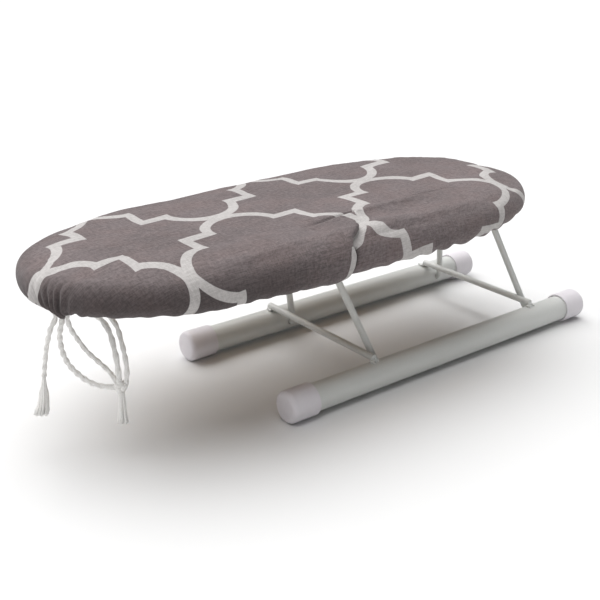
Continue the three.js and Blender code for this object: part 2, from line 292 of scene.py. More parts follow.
def rounded(corners, arc_steps):
    """A line in a plane with its corners rounded; each corner is (u, v, radius)."""
    line = []
    for i, (u, v, radius) in enumerate(corners):
        here = np.array([u, v], float)
        if not radius:
            line.append(here)
            continue
        back = unit(np.array(corners[i - 1][:2], float) - here)
        on = unit(np.array(corners[(i + 1) % len(corners)][:2], float) - here)
        half = math.acos(np.clip(back @ on, -1, 1)) / 2
        centre = here + unit(back + on) * radius / math.sin(half)
        first = here + back * radius / math.tan(half) - centre
        last = here + on * radius / math.tan(half) - centre
        turn = math.atan2(first[0] * last[1] - first[1] * last[0], first @ last)
        for k in range(arc_steps + 1):
            c, s = math.cos(turn * k / arc_steps), math.sin(turn * k / arc_steps)
            line.append(centre + [c * first[0] - s * first[1], s * first[0] + c * first[1]])
    return np.array(line)


# ---- materials ----


class Num:
    """A number in a node tree, so that ordinary arithmetic adds Math nodes."""

    def __init__(self, look, socket):
        self.look, self.socket = look, socket

    def __add__(self, other):
        return self.look.math("ADD", self, other)

    def __sub__(self, other):
        return self.look.math("SUBTRACT", self, other)

    def __rsub__(self, other):
        return self.look.math("SUBTRACT", other, self)

    def __mul__(self, other):
        return self.look.math("MULTIPLY", self, other)

    def __abs__(self):
        return self.look.math("ABSOLUTE", self)

    __radd__ = __add__


class Look:
    """One procedural material."""

    def __init__(self, name, roughness, metallic=0.0, specular=0.5, sheen=0.0):
        self.material = bpy.data.materials.new(name)
        self.material.use_nodes = True
        self.tree = self.material.node_tree
        self.tree.nodes.clear()
        self.shader = self.tree.nodes.new("ShaderNodeBsdfPrincipled")
        output = self.tree.nodes.new("ShaderNodeOutputMaterial")
        self.tree.links.new(self.shader.outputs[0], output.inputs["Surface"])
        self.put("Roughness", roughness)
        self.put("Metallic", metallic)
        self.put("Specular IOR Level", specular)
        if sheen:
            self.put("Sheen Weight", sheen)
            self.put("Sheen Roughness", 0.6)

    def plug(self, socket, value):
        if isinstance(value, Num):
            value = value.socket
        if isinstance(value, bpy.types.NodeSocket):
            self.tree.links.new(value, socket)
        else:
            socket.default_value = value

    def put(self, name, value):
        self.plug(self.shader.inputs[name], value)

    def node(self, kind, inputs=(), **settings):
        made = self.tree.nodes.new(kind)
        for key, value in settings.items():
            setattr(made, key, value)
        for key, value in dict(inputs).items():
            self.plug(made.inputs[key], value)
        return made

    def math(self, operation, *values):
        return Num(self, self.node("ShaderNodeMath", enumerate(values), operation=operation).outputs[0])

    def smallest(self, first, *others):
        for other in others:
            first = self.math("MINIMUM", first, other)
        return first

    def ramp(self, value, low, high):
        """0 at low and 1 at high, smooth between them."""
        inputs = {"Value": value, "From Min": low, "From Max": high}
        made = self.node("ShaderNodeMapRange", inputs, interpolation_type="SMOOTHSTEP")
        return Num(self, made.outputs[0])

    def split(self, vector):
        made = self.node("ShaderNodeSeparateXYZ", {0: vector})
        return [Num(self, output) for output in made.outputs]

    def vector(self, x, y):
        return self.node("ShaderNodeCombineXYZ", {0: x, 1: y}).outputs[0]

    def place(self):
        """The rest position in mm, which stays with the piece when it moves."""
        made = self.node("ShaderNodeTexCoord")
        scaled = self.node("ShaderNodeVectorMath", {0: made.outputs["Object"]}, operation="SCALE")
        scaled.inputs["Scale"].default_value = 1 / MM
        return scaled.outputs[0]

    def attribute(self, name):
        return self.node("ShaderNodeAttribute", attribute_name=name).outputs["Vector"]

    def scaled(self, vector, factors):
        made = self.node("ShaderNodeVectorMath", {0: vector, 1: factors}, operation="MULTIPLY")
        return made.outputs[0]

    def noise(self, vector, scale, detail=3.0, roughness=0.55, distortion=0.0):
        inputs = {"Vector": vector, "Scale": scale, "Detail": detail,
                  "Roughness": roughness, "Distortion": distortion}
        return Num(self, self.node("ShaderNodeTexNoise", inputs).outputs[0])

    def streaks(self, vector, factors, *detail):
        """Noise drawn out along the axes that have a small factor."""
        return self.noise(self.scaled(vector, factors), 1.0, *detail)

    def cells(self, vector, scale):
        made = self.node("ShaderNodeTexVoronoi", {"Vector": vector, "Scale": scale})
        return Num(self, made.outputs["Distance"])

    def mix(self, share, first, second):
        """The first colour where share is 0 and the second where it is 1."""
        made = self.node("ShaderNodeMix", data_type="RGBA")
        for key, value in (("Factor_Float", share), ("A_Color", first), ("B_Color", second)):
            socket = next(s for s in made.inputs if s.identifier == key)
            self.plug(socket, (*value, 1.0) if isinstance(value, tuple) else value)
        return next(s for s in made.outputs if s.identifier == "Result_Color")

    def finish(self, colour, normal, roughness=None):
        self.put("Base Color", colour)
        self.put("Normal", normal)
        if roughness is not None:
            self.put("Roughness", roughness)
        return self.material

    def bump(self, height, distance, strength=1.0, under=None):
        inputs = {"Height": height, "Distance": distance * MM, "Strength": strength}
        if under is not None:
            inputs["Normal"] = under
        return self.node("ShaderNodeBump", inputs).outputs[0]


# The print is a quatrefoil trellis: a square lattice of pointed tiles and round-lobed tiles.
TILE_CENTRE = (-143.6, 2.6)
TILE_HALF = 67.1
TILE_TURN = math.radians(4.5)
STEP_NEAR = 22.9
STEP_FAR = 41.0
LOBE_R = 27.2
LOBE_GAP = 1.9
LINE_HALF = 3.4


def trellis(look, u, v):
    """1 on the printed line and 0 on the ground, for cloth coordinates u and v in mm."""
    c, s = math.cos(TILE_TURN), math.sin(TILE_TURN)
    du, dv = u - TILE_CENTRE[0], v - TILE_CENTRE[1]
    along = look.math("PINGPONG", du * c + dv * s, TILE_HALF)
    across = look.math("PINGPONG", dv * c - du * s, TILE_HALF)
    middle, half = (STEP_FAR + STEP_NEAR) / 2, (STEP_FAR - STEP_NEAR) / 2
    parts = []
    for p, q in ((along, across), (across, along)):
        parts.append(look.math("MAXIMUM", abs(p - STEP_NEAR), abs(q - middle) - half))
        x, y = p - TILE_HALF, q - (LOBE_R + LOBE_GAP)
        ring = abs(look.math("SQRT", x * x + y * y) - LOBE_R)
        parts.append(look.math("MAXIMUM", ring, q - STEP_NEAR))
    distance = look.smallest(*parts)
    return look.ramp(distance, LINE_HALF + 0.25, LINE_HALF - 0.25)


WEAVE_PITCH = 0.55
GROUND_DARK, GROUND_PALE = (0.098, 0.080, 0.080), (0.212, 0.175, 0.176)
WARM_DARK, WARM_PALE = (0.110, 0.081, 0.078), (0.224, 0.169, 0.164)
INK_DARK, INK_PALE = (0.40, 0.38, 0.37), (0.56, 0.535, 0.525)
# Painted shade: the first darkens the cloth drawn under the nose, the second the bottom of creases, pleats
# and folds.
NOSE_SHADE, FOLD_SHADE = (0.02, 0.015, 0.015), (0.03, 0.025, 0.024)


def cotton_cover():
    """Plain-weave cotton with slubs, and a slightly rubbed off-white print."""
    look = Look("cotton_cover", roughness=0.88, specular=0.25, sheen=0.12)
    u, v, past = look.split(look.attribute("cloth"))
    # Painted shade in the bottom of the creases, pleats and folds, carried on the mesh.
    painted_shade = look.split(look.attribute("soil"))[0]
    flat = look.vector(u, v)
    wander_u = look.streaks(flat, (0.02, 0.02, 0), 2.0) * 1.6
    wander_v = look.noise(look.scaled(flat, (0.023, 0.019, 0)), 1.3, 2.0) * 1.6
    printed = trellis(look, u + wander_v - 0.8, v + wander_u - 0.8)
    # Warp and weft, with long slubs along each.
    warp = look.math("SINE", (u + wander_u * 0.2) * (2 * math.pi / WEAVE_PITCH))
    weft = look.math("SINE", (v + wander_v * 0.2) * (2 * math.pi / WEAVE_PITCH))
    weave = warp * weft
    slub_u = look.streaks(flat, (0.09, 1.5, 0), 4.0, 0.65)
    slub_v = look.streaks(flat, (1.5, 0.09, 0), 4.0, 0.65)
    slub = slub_u * 0.6 + slub_v * 0.4
    cloudy = look.streaks(flat, (0.012, 0.02, 0), 3.0)
    speck = look.streaks(flat, (0.42, 0.5, 0), 3.0, 0.75)
    tone = look.ramp(slub * 0.95 + cloudy * 0.3 + weave * 0.04 + speck * 0.62, 0.73, 1.13)
    ground = look.mix(tone, GROUND_DARK, GROUND_PALE)
    warm = look.ramp(look.streaks(flat, (0.03, 0.045, 0), 4.0, 0.6), 0.40, 0.66)
    ground = look.mix(warm * 0.5, ground, look.mix(tone, WARM_DARK, WARM_PALE))
    ink = look.mix(tone, INK_DARK, INK_PALE)
    worn = look.ramp(look.noise(flat, 1.3, 4.0, 0.7), 0.62, 0.80) * 0.28
    # Painted shade: the cloth down the sides of the nose, where the string draws it under, is darker the
    # further it is past the top's edge.
    nose_shade = look.ramp(past, 0.0, 26.0) * look.ramp(u * -1.0, 20.0, 100.0) * 0.6
    clean = look.mix(printed * (1.0 - worn), look.mix(nose_shade, ground, NOSE_SHADE), ink)
    pucker = look.bump(look.streaks(flat, (0.06, 0.16, 0), 3.0), 0.9, 0.6)
    threads = look.bump(weave * 0.35 + slub * 1.6 + printed * 0.12, 0.12, 0.7, pucker)
    return look.finish(look.mix(painted_shade, clean, FOLD_SHADE), threads, 0.86 + slub * 0.1 - printed * 0.05)


def cotton_string(name, fibre_axis):
    """Off-white cotton; the fibres run along the given share of each axis."""
    look = Look(name, roughness=0.9, specular=0.2, sheen=0.8)
    place = look.place()
    fibres = look.streaks(place, fibre_axis, 4.0, 0.7, 0.4)
    lint = look.noise(place, 1.1, 3.0, 0.6)
    tone = look.ramp(fibres * 0.7 + lint * 0.4, 0.35, 0.85)
    colour = look.mix(tone, (0.83, 0.81, 0.78), (0.98, 0.97, 0.95))
    return look.finish(colour, look.bump(fibres + lint * 0.4, 0.25, 0.8))


def powder_coat():
    """Light grey powder coat: fine orange peel, a faint fleck and rubbed spots."""
    look = Look("powder_coat", roughness=0.38, specular=0.5)
    place = look.place()
    peel = look.noise(place, 0.9, 2.0, 0.5)
    fleck = look.cells(place, 2.6)
    rub = look.ramp(look.streaks(place, (0.05, 0.3, 0.3), 5.0, 0.65), 0.60, 0.78)
    speck = look.ramp(fleck, 0.10, 0.32)
    tone = look.mix(speck, (0.77, 0.775, 0.755), (0.68, 0.69, 0.67))
    colour = look.mix(rub * 0.3, tone, (0.56, 0.56, 0.545))
    roughness = 0.34 + rub * 0.16 + look.noise(place, 0.05, 2.0) * 0.12
    return look.finish(colour, look.bump(peel + speck * 0.15, 0.10, 0.5), roughness)


def moulded_cap():
    """Soft lilac-grey plastic with a fine spark-eroded grain and a few scuffs."""
    look = Look("moulded_cap", roughness=0.5, specular=0.45)
    place = look.place()
    grain = look.cells(place, 3.2)
    mottle = look.noise(place, 0.12, 3.0)
    scuff = look.ramp(look.streaks(place, (0.9, 0.08, 0.5), 5.0, 0.7), 0.62, 0.74)
    tone = look.mix(mottle, (0.74, 0.705, 0.745), (0.82, 0.79, 0.82))
    colour = look.mix(scuff * 0.3, tone, (0.84, 0.82, 0.84))
    roughness = 0.44 + mottle * 0.1 + scuff * 0.12
    return look.finish(colour, look.bump(grain + scuff * 0.5, 0.08, 0.4), roughness)


def zinc_plate():
    """Zinc-plated pressed steel, dulled unevenly."""
    look = Look("zinc_plate", roughness=0.36, metallic=0.9)
    place = look.place()
    cloud = look.noise(place, 0.35, 4.0, 0.6)
    brush = look.streaks(place, (4.0, 0.3, 4.0), 3.0)
    colour = look.mix(cloud, (0.44, 0.44, 0.425), (0.66, 0.655, 0.63))
    return look.finish(colour, look.bump(brush, 0.05, 0.4), 0.28 + cloud * 0.2 + brush * 0.1)


def fibreboard():
    """Brown hardboard: matted short fibres, darker blotches."""
    look = Look("fibreboard", roughness=0.82, specular=0.3)
    place = look.place()
    fibres = look.streaks(place, (0.5, 1.7, 1.0), 6.0, 0.7, 1.2)
    blotch = look.noise(place, 0.03, 3.0)
    chips = look.cells(look.scaled(place, (0.5, 0.9, 0.7)), 1.0)
    tone = look.ramp(fibres * 0.7 + blotch * 0.4 - chips * 0.12, 0.28, 0.72)
    colour = look.mix(tone, (0.20, 0.125, 0.065), (0.47, 0.33, 0.19))
    return look.finish(colour, look.bump(fibres + chips * 0.3, 0.25, 0.6), 0.76 + fibres * 0.15)


def open_foam():
    """Off-white open-cell foam."""
    look = Look("open_foam", roughness=0.95, specular=0.15)
    place = look.place()
    pores = look.cells(place, 1.4)
    tint = look.noise(place, 0.05, 3.0)
    colour = look.mix(pores * 0.7 + tint * 0.3, (0.50, 0.46, 0.36), (0.83, 0.80, 0.70))
    return look.finish(colour, look.bump(pores, 0.4, 0.8))


# Each finish is a material slot of the record and the material of the pieces that have it.
COVER = ("cover_cotton", cotton_cover())
STRING = ("cotton_string", cotton_string("cotton_string", (2.4, 2.4, 0.7)))
THREAD = ("cotton_string", cotton_string("sewing_thread", (3.0, 3.0, 3.0)))
PAINT = ("frame_paint", powder_coat())
CAP = ("cap_plastic", moulded_cap())
ZINC = ("zinc_steel", zinc_plate())
HARDBOARD = ("panel_board", fibreboard())
FOAM = ("pad_foam", open_foam())

# ---- drawstring ----

STRANDS = {
    "cord_end": [
        (-204.5, -14.2, 97), (-204.7, -14.1, 92), (-208, -13.5, 86), (-210.6, -12.6, 77),
        (-212.4, -11.8, 67), (-213.6, -11, 57.5),
    ],
    "cord_a": [
        (-202, -17.7, 97), (-202.3, -17.8, 92), (-204.4, -17.4, 83), (-204.2, -18, 74),
        (-202.3, -19.6, 66), (-199, -22.2, 60), (-194.4, -25.8, 54.6), (-189, -30, 51.2),
        (-183, -34.7, 50.2),
    ],
    "cord_b": [
        (-200.4, -21.1, 97), (-200.4, -21.2, 92), (-198.7, -21.4, 85.8), (-195, -22.7, 77.8),
        (-191.3, -24.3, 71), (-185.7, -27.5, 63.5), (-181.8, -30.4, 58), (-180, -34.2, 53.4),
    ],
    "cord_c": [
        (-188.6, -15.6, 98.3), (-186.6, -18, 95.2), (-183.2, -21.8, 91.2), (-180.7, -25, 87.8),
        (-179.1, -29.4, 81.4), (-179, -33.3, 72.7), (-179.1, -35.8, 64.7), (-179.4, -37.3, 54.7),
    ],
    "cord_d": [
        (-182.6, -20.2, 98.3), (-180.4, -22.8, 94.8), (-177.1, -27.2, 90.1), (-175, -30.7, 84.8),
        (-174.7, -34.8, 75.7), (-174.9, -37.9, 68), (-175.2, -39.6, 60.4), (-176.2, -39.5, 52.9),
    ],
}
STRAND_R = {"cord_end": 1.6, "cord_a": 1.7, "cord_b": 1.5, "cord_c": 1.8, "cord_d": 1.6}
STRAND_TWIST = {"cord_end": 0.55, "cord_a": 0.62, "cord_b": 0.52, "cord_c": 0.34, "cord_d": 0.42}
KNOT = (-178.8, -38.0, 50.2)
KNOT_FACING = (0.617, 0.787)     # in X and Y: across the plane of the knot and the widest of the tassels
# Where each string goes on from its end into the knot.
KNOT_LEADS = {
    "cord_a": [(-181.0, -36.3, 49.8), (-179.0, -38.2, 49.4)],
    "cord_b": [(-179.2, -36.0, 51.6), (-178.6, -38.0, 49.8)],
    "cord_c": [(-179.2, -38.0, 52.4), (-178.4, -38.8, 49.6)],
    "cord_d": [(-177.0, -39.2, 50.4), (-178.6, -38.2, 48.8)],
}
# Each tassel: top, foot, half widths on the way down, lean of the foot, count of yarns and seed.
TASSELS = {
    "tassel_end": (
        (-213.5, -11.0, 58.5), (-215.4, -9.8, 32.8), (0.8, 1.1, 1.9, 3.2, 3.6, 3.8, 5.1), -1.4, 130, 4),
    "tassel_knot": ((-178.7, -38.0, 48.5), (-179.2, -37.6, 26.6), (1.8, 2.2, 2.6, 3.0, 3.6), 0.3, 110, 9),
}
PLIES = 2


def rope_section(radius, twist):
    """The section of a twisted string: a few plies that turn along its length."""
    def section(angles, along):
        lobe = np.abs(np.cos(PLIES / 2 * (angles - twist * along)))
        swell = 1 + 0.05 * math.sin(1.3 * along + 9 * twist)
        return radius * swell * (0.56 + 0.44 * lobe**0.8)
    return section


def string_piece(node, shape):
    """A piece of the drawstring in place of its CAD node."""
    return make_piece("twisted_" + node, shape, "board", STRING, node)


def fold_with_board(piece):
    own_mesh(piece)


def tassel(name, top, bottom, widths, lean, count, seed):
    """A frayed end: a bundle of loose yarns."""
    random = np.random.default_rng(seed)
    top, bottom = np.array(top, float), np.array(bottom, float)
    across = unit(np.cross(bottom - top, [*KNOT_FACING, 0]))
    depth = unit(np.cross(bottom - top, across))
    parts = []
    for _ in range(count):
        turn, reach = random.uniform(0, 2 * math.pi), math.sqrt(random.uniform(0.02, 1))
        out = across * math.cos(turn) + depth * math.sin(turn)
        wave = random.uniform(-0.5, 0.5, 2)
        length = random.uniform(0.93, 1.0)
        line = []
        for f in np.linspace(0, length, 9):
            spread = np.interp(f, np.linspace(0, 1, len(widths)), widths)
            drift = wave[0] * math.sin(5 * f) * across + wave[1] * math.sin(4 * f + 1) * depth
            drift = drift + across * lean * f**5
            line.append(top + (bottom - top) * f + out * reach * spread * 0.86 + drift * f)
        parts.append(sweep(line, random.uniform(0.30, 0.46), 6, first_side=(1, 0, 0)))
    return string_piece(name, join_parts(parts))


def make_knot():
    """An overhand knot: one closed turn of the string in the form of a trefoil."""
    turn = np.linspace(0, 2 * math.pi, 120, endpoint=False)
    loop = np.stack([
        0.86 * (np.sin(turn) + 2 * np.sin(2 * turn)),
        1.02 * (np.cos(turn) - 2 * np.cos(2 * turn)),
        -1.4 * np.sin(3 * turn),
    ], axis=1)
    x, y = KNOT_FACING
    tilt = np.array([[y, 0, x], [-x, 0, y], [0, 1, 0]])
    parts = [sweep(loop @ tilt.T + KNOT, rope_section(1.7, 0.5), 18, closed=True)]
    for name, lead in KNOT_LEADS.items():
        route = spaced_route(STRANDS[name][-2:] + lead, 0.5)
        reached = np.linalg.norm(route - STRANDS[name][-1], axis=1).argmin()
        section = rope_section(STRAND_R[name], STRAND_TWIST[name])
        parts.append(sweep(route[reached - 2:], section, 18, first_side=(1, 0, 0)))
    return string_piece("knot", join_parts(parts))


def make_drawstring():
    pieces = {"knot": make_knot()}
    for name, facts in TASSELS.items():
        pieces[name] = tassel(name, *facts)
    for name, points in STRANDS.items():
        route = spaced_route(points, 0.7)
        section = rope_section(STRAND_R[name], STRAND_TWIST[name])
        piece = string_piece(name, sweep(route, section, 18, first_side=(1, 0, 0)))
        fold_with_board(piece)
    for piece in pieces.values():
        fold_with_board(piece)


make_drawstring()

# ---- board outline ----

NOSE_X, TAIL_X = -214.0, 172.0
NOSE_ROUND, TAIL_ROUND = 107.0, 134.0
NOSE_HALF_WIDTH, TAIL_HALF_WIDTH = 76.0, 80.5
TAIL_SQUARENESS = 2.5
ROLL_R = (BOARD_TOP - BOARD_UNDERSIDE) / 2
ROLL_Z = BOARD_UNDERSIDE + ROLL_R
ROLL_ARC = math.pi * ROLL_R
EXIT_ANGLE = 0.294      # where the string leaves the hem, on the nose's ellipse towards -Y


def end_point(end, side, angle):
    """Points and outward normals on the rounded nose or tail, towards +Y (1) or -Y (-1)."""
    if end == "nose":
        length, width, power, centre, flip = NOSE_ROUND, NOSE_HALF_WIDTH, 2.0, NOSE_X + NOSE_ROUND, -1
    else:
        length, width, power, centre, flip = (
            TAIL_ROUND, TAIL_HALF_WIDTH, TAIL_SQUARENESS, TAIL_X - TAIL_ROUND, 1)
    c = np.maximum(np.cos(angle), 0) ** (2 / power)
    s = np.maximum(np.sin(angle), 0) ** (2 / power)
    point = np.stack([centre + flip * c * length, side * s * width], axis=-1)
    normal = np.stack([flip * c ** (power - 1) / length, side * s ** (power - 1) / width], axis=-1)
    return point, unit(normal)


def outline(count, density=None):
    """Places round the outline from the tip of the tail, anticlockwise: points, normals, distance.

    density says how close the places are at each point; without it they are evenly spaced.
    """
    angles = np.linspace(0, math.pi / 2, 1200)
    runs = [
        end_point("tail", 1, angles), end_point("nose", 1, angles[::-1]),
        end_point("nose", -1, angles), end_point("tail", -1, angles[::-1]),
    ]
    points = np.concatenate([p for p, _ in runs])
    normals = np.concatenate([n for _, n in runs])
    steps = np.linalg.norm(np.diff(points, axis=0), axis=1)
    keep = np.concatenate([[True], steps > 1e-7])
    points, normals = points[keep], normals[keep]
    along, steps = distances(points), np.linalg.norm(np.diff(points, axis=0), axis=1)
    weight = np.ones(len(steps)) if density is None else density((points[1:] + points[:-1]) / 2)
    filled = np.concatenate([[0], np.cumsum(steps * weight)])
    at = np.interp(np.arange(count) / count * filled[-1], filled, along)
    return interpolate(at, along, points), unit(interpolate(at, along, normals)), at


# ---- cover ----

SEAM = 2.6               # of cloth under the board before the hem's stitches
HEM_FLAT = 3.8           # of cloth under the board before the string's channel
CHANNEL_R = (2.7, 2.2)   # half width and half height of the channel
HEM_TURN = 5.0           # of cloth turned back over the string
STRING_INSET, STRING_GAP = 16.8, 21.0    # of the string in the hem, and the gap at its exit
STITCH_PITCH, STITCH_SHARE, THREAD_R = 3.1, 0.72, 0.2
# Places round the hem, spacing on the top and spacing down the side, for the cover and for the
# coarser one that is simulated.
RING_COUNT, TOP_SPACING, ROW_STEP = 416, 4.0, 1.5
SIM_COUNT, SIM_SPACING, SIM_ROW = 300, 7.0, 3.4
SIM_PRESSURE, SIM_FRAMES = 4.0, 20
SIM_BROAD, SIM_LIMIT = 24.0, 1.5         # a wrinkle is narrower and stands out less than these
EXIT_PLACE = end_point("nose", -1, np.array(EXIT_ANGLE))[0]

# The near side of the cover is pulled towards the nose: how far the cloth at x moves.
PULL_X = (-170, -130, -95, -65, -42, -26)
PULL = (0.0, -2.0, -5.0, -8.5, -11.0, -11.6)
PULL_BEYOND_X = (-26, 0, 20, 45, 70, 100, 125, 145)
PULL_BEYOND = (-16.2, -15.2, -13.6, -13.6, -12.5, -7.6, -3.6, 0.0)
PULL_PAST = (-6.5, 8.0)          # how far down the side the pull starts, and where it is whole
# The pulled cloth ends in a fold that laps over the rest: its line on the cloth, going down.
FOLD_PAST = (-16, -9, 0, 4.5, 8, 12, 16, 20, 24, 28, 34, 44)
FOLD_CLOTH_X = (-14, -11.5, -14.8, -18.6, -22.8, -26.2, -22.8, -21.6, -21.6, -22.2, -23.8, -25.5)
FOLD_LIES_X = (-16.5, -15.0, -21.2, -28.0, -32.4, -35.4, -34.9, -35.0, -36.6, -39.8, -43.4, -45.2)
# The section of the fold across that line: places on the cloth, where they lie, and how much of
# the bulge each one has.
LAP = np.array([
    (-7.0, -6.8, 1.00), (-4.5, -4.3, 1.03), (-2.8, -2.6, 1.00), (-1.6, -1.4, 0.90), (-0.8, -0.6, 0.76),
    (0.0, -0.1, 0.58), (0.7, 0.0, 0.40), (1.5, -0.7, 0.20), (2.3, -1.8, 0.05), (3.0, -2.4, -0.14),
    (3.7, -2.2, -0.36), (4.6, -1.3, -0.40), (6.0, 0.4, -0.26), (9.0, 4.0, -0.06), (13.0, 8.4, 0.0),
    (63.0, 58.4, 0.0),
])
# How far the pulled cloth stands out at x.
BULGE_X = (-170, -125, -95, -70, -50, -36, -26)
BULGE = (0.0, 0.4, 1.4, 3.0, 4.4, 5.2, 5.4)
# Where the printed cloth is pulled along the board: place, pull and reach.
TUGS = (
    ((-138, -64), (-6, 0), 30), ((-209, -6), (3, -7), 24), ((-229, -16), (-9, -3), 15),
    ((-222, 6), (2, -5), 14), ((-150, 69), (4, 0), 30), ((58, 18), (-4, -2), 34),
    ((152, 8), (-4, -9), 34), ((128, -34), (-6, -4), 26), ((-197, -4), (-4.0, 3.1), 12),
)
# Creases along the top: two ends, depth, height of the ridge on the near side, fade at each end.
CREASES = (
    ((-2.0, -36.6), (98.0, -31.5), 3.0, 2.2, (0.03, 0.6)),
    ((0.0, -36.0), (-64.0, -45.5), 1.9, 1.0, (0.03, 0.95)),
)
# Pleats at the string's exit: angle from straight up, depth and width of each groove.
PLEATS = (
    (-1.30, 0.8, 0.04), (-1.06, 1.1, 0.032), (-0.88, 1.3, 0.028), (-0.72, 1.7, 0.026), (-0.58, 1.7, 0.022),
    (-0.45, 1.4, 0.02), (-0.33, 2.7, 0.025), (-0.19, 1.5, 0.022), (-0.05, 2.2, 0.022), (0.08, 1.4, 0.02),
    (0.19, 3.0, 0.03), (0.35, 1.4, 0.036),
    (0.56, 1.2, 0.05), (0.82, 0.8, 0.07), (1.10, 0.5, 0.08),
)
NOISE_GAIN = 1.6         # brings Blender's noise to about -1 to 1
PLEAT_CENTRE = 10.0      # how far below the hem the pleats would meet
TIP_DROP, TIP_PAST = 4.0, 36.0           # how far the hem's tip at the string hangs, and where
DEEPEST = 3.4            # the most that the cloth sinks into the pad
SCALLOP_PITCH = 17.0


def profile(t):
    """Inset, height and the outward and upward parts of the normal, t past the top's edge."""
    inset, z = np.full_like(t, ROLL_R), np.full_like(t, BOARD_TOP)
    out, up = np.zeros_like(t), np.ones_like(t)
    roll = (t > 0) & (t <= ROLL_ARC)
    angle = t[roll] / ROLL_R
    inset[roll], z[roll] = ROLL_R * (1 - np.sin(angle)), ROLL_Z + ROLL_R * np.cos(angle)
    out[roll], up[roll] = np.sin(angle), np.cos(angle)
    under = t > ROLL_ARC
    inset[under], z[under] = ROLL_R + t[under] - ROLL_ARC, BOARD_UNDERSIDE
    out[under], up[under] = 0, -1
    half_turn = math.pi * sum(CHANNEL_R) / 2
    start = ROLL_ARC + HEM_FLAT
    channel = (t > start) & (t <= start + half_turn)
    angle = (t[channel] - start) / half_turn * math.pi
    inset[channel] = ROLL_R + HEM_FLAT + CHANNEL_R[0] * np.sin(angle)
    z[channel] = BOARD_UNDERSIDE + CHANNEL_R[1] * (1 - np.cos(angle))
    out[channel], up[channel] = -np.sin(angle), -np.cos(angle)
    turned = t > start + half_turn
    inset[turned] = ROLL_R + HEM_FLAT - (t[turned] - start - half_turn)
    z[turned] = BOARD_UNDERSIDE + 2 * CHANNEL_R[1]
    out[turned], up[turned] = 0, 1
    return inset, z, out, up


def wave(values, seed, step):
    """A smooth random wave from -1 to 1 along a line, with knots step apart."""
    return np.array([noise.noise(Vector((v / step, seed * 7.31, 0.37))) for v in values]) * NOISE_GAIN


def wave_2d(u, v, seed, step_u, step_v):
    """A smooth random wave from -1 to 1 over a plane."""
    places = [Vector((a / step_u, b / step_v, seed * 5.17)) for a, b in zip(u, v)]
    return np.array([noise.noise(place) for place in places]) * NOISE_GAIN


def ring_density(points):
    """More places where the cloth folds over itself and where it is pleated."""
    near = points[:, 1] < 0
    fold = hump(points[:, 0], -20, 14) * near
    pleats = hump(np.linalg.norm(points - EXIT_PLACE, axis=1), 0, 26)
    return 1 + 2.6 * fold + 2.2 * pleats


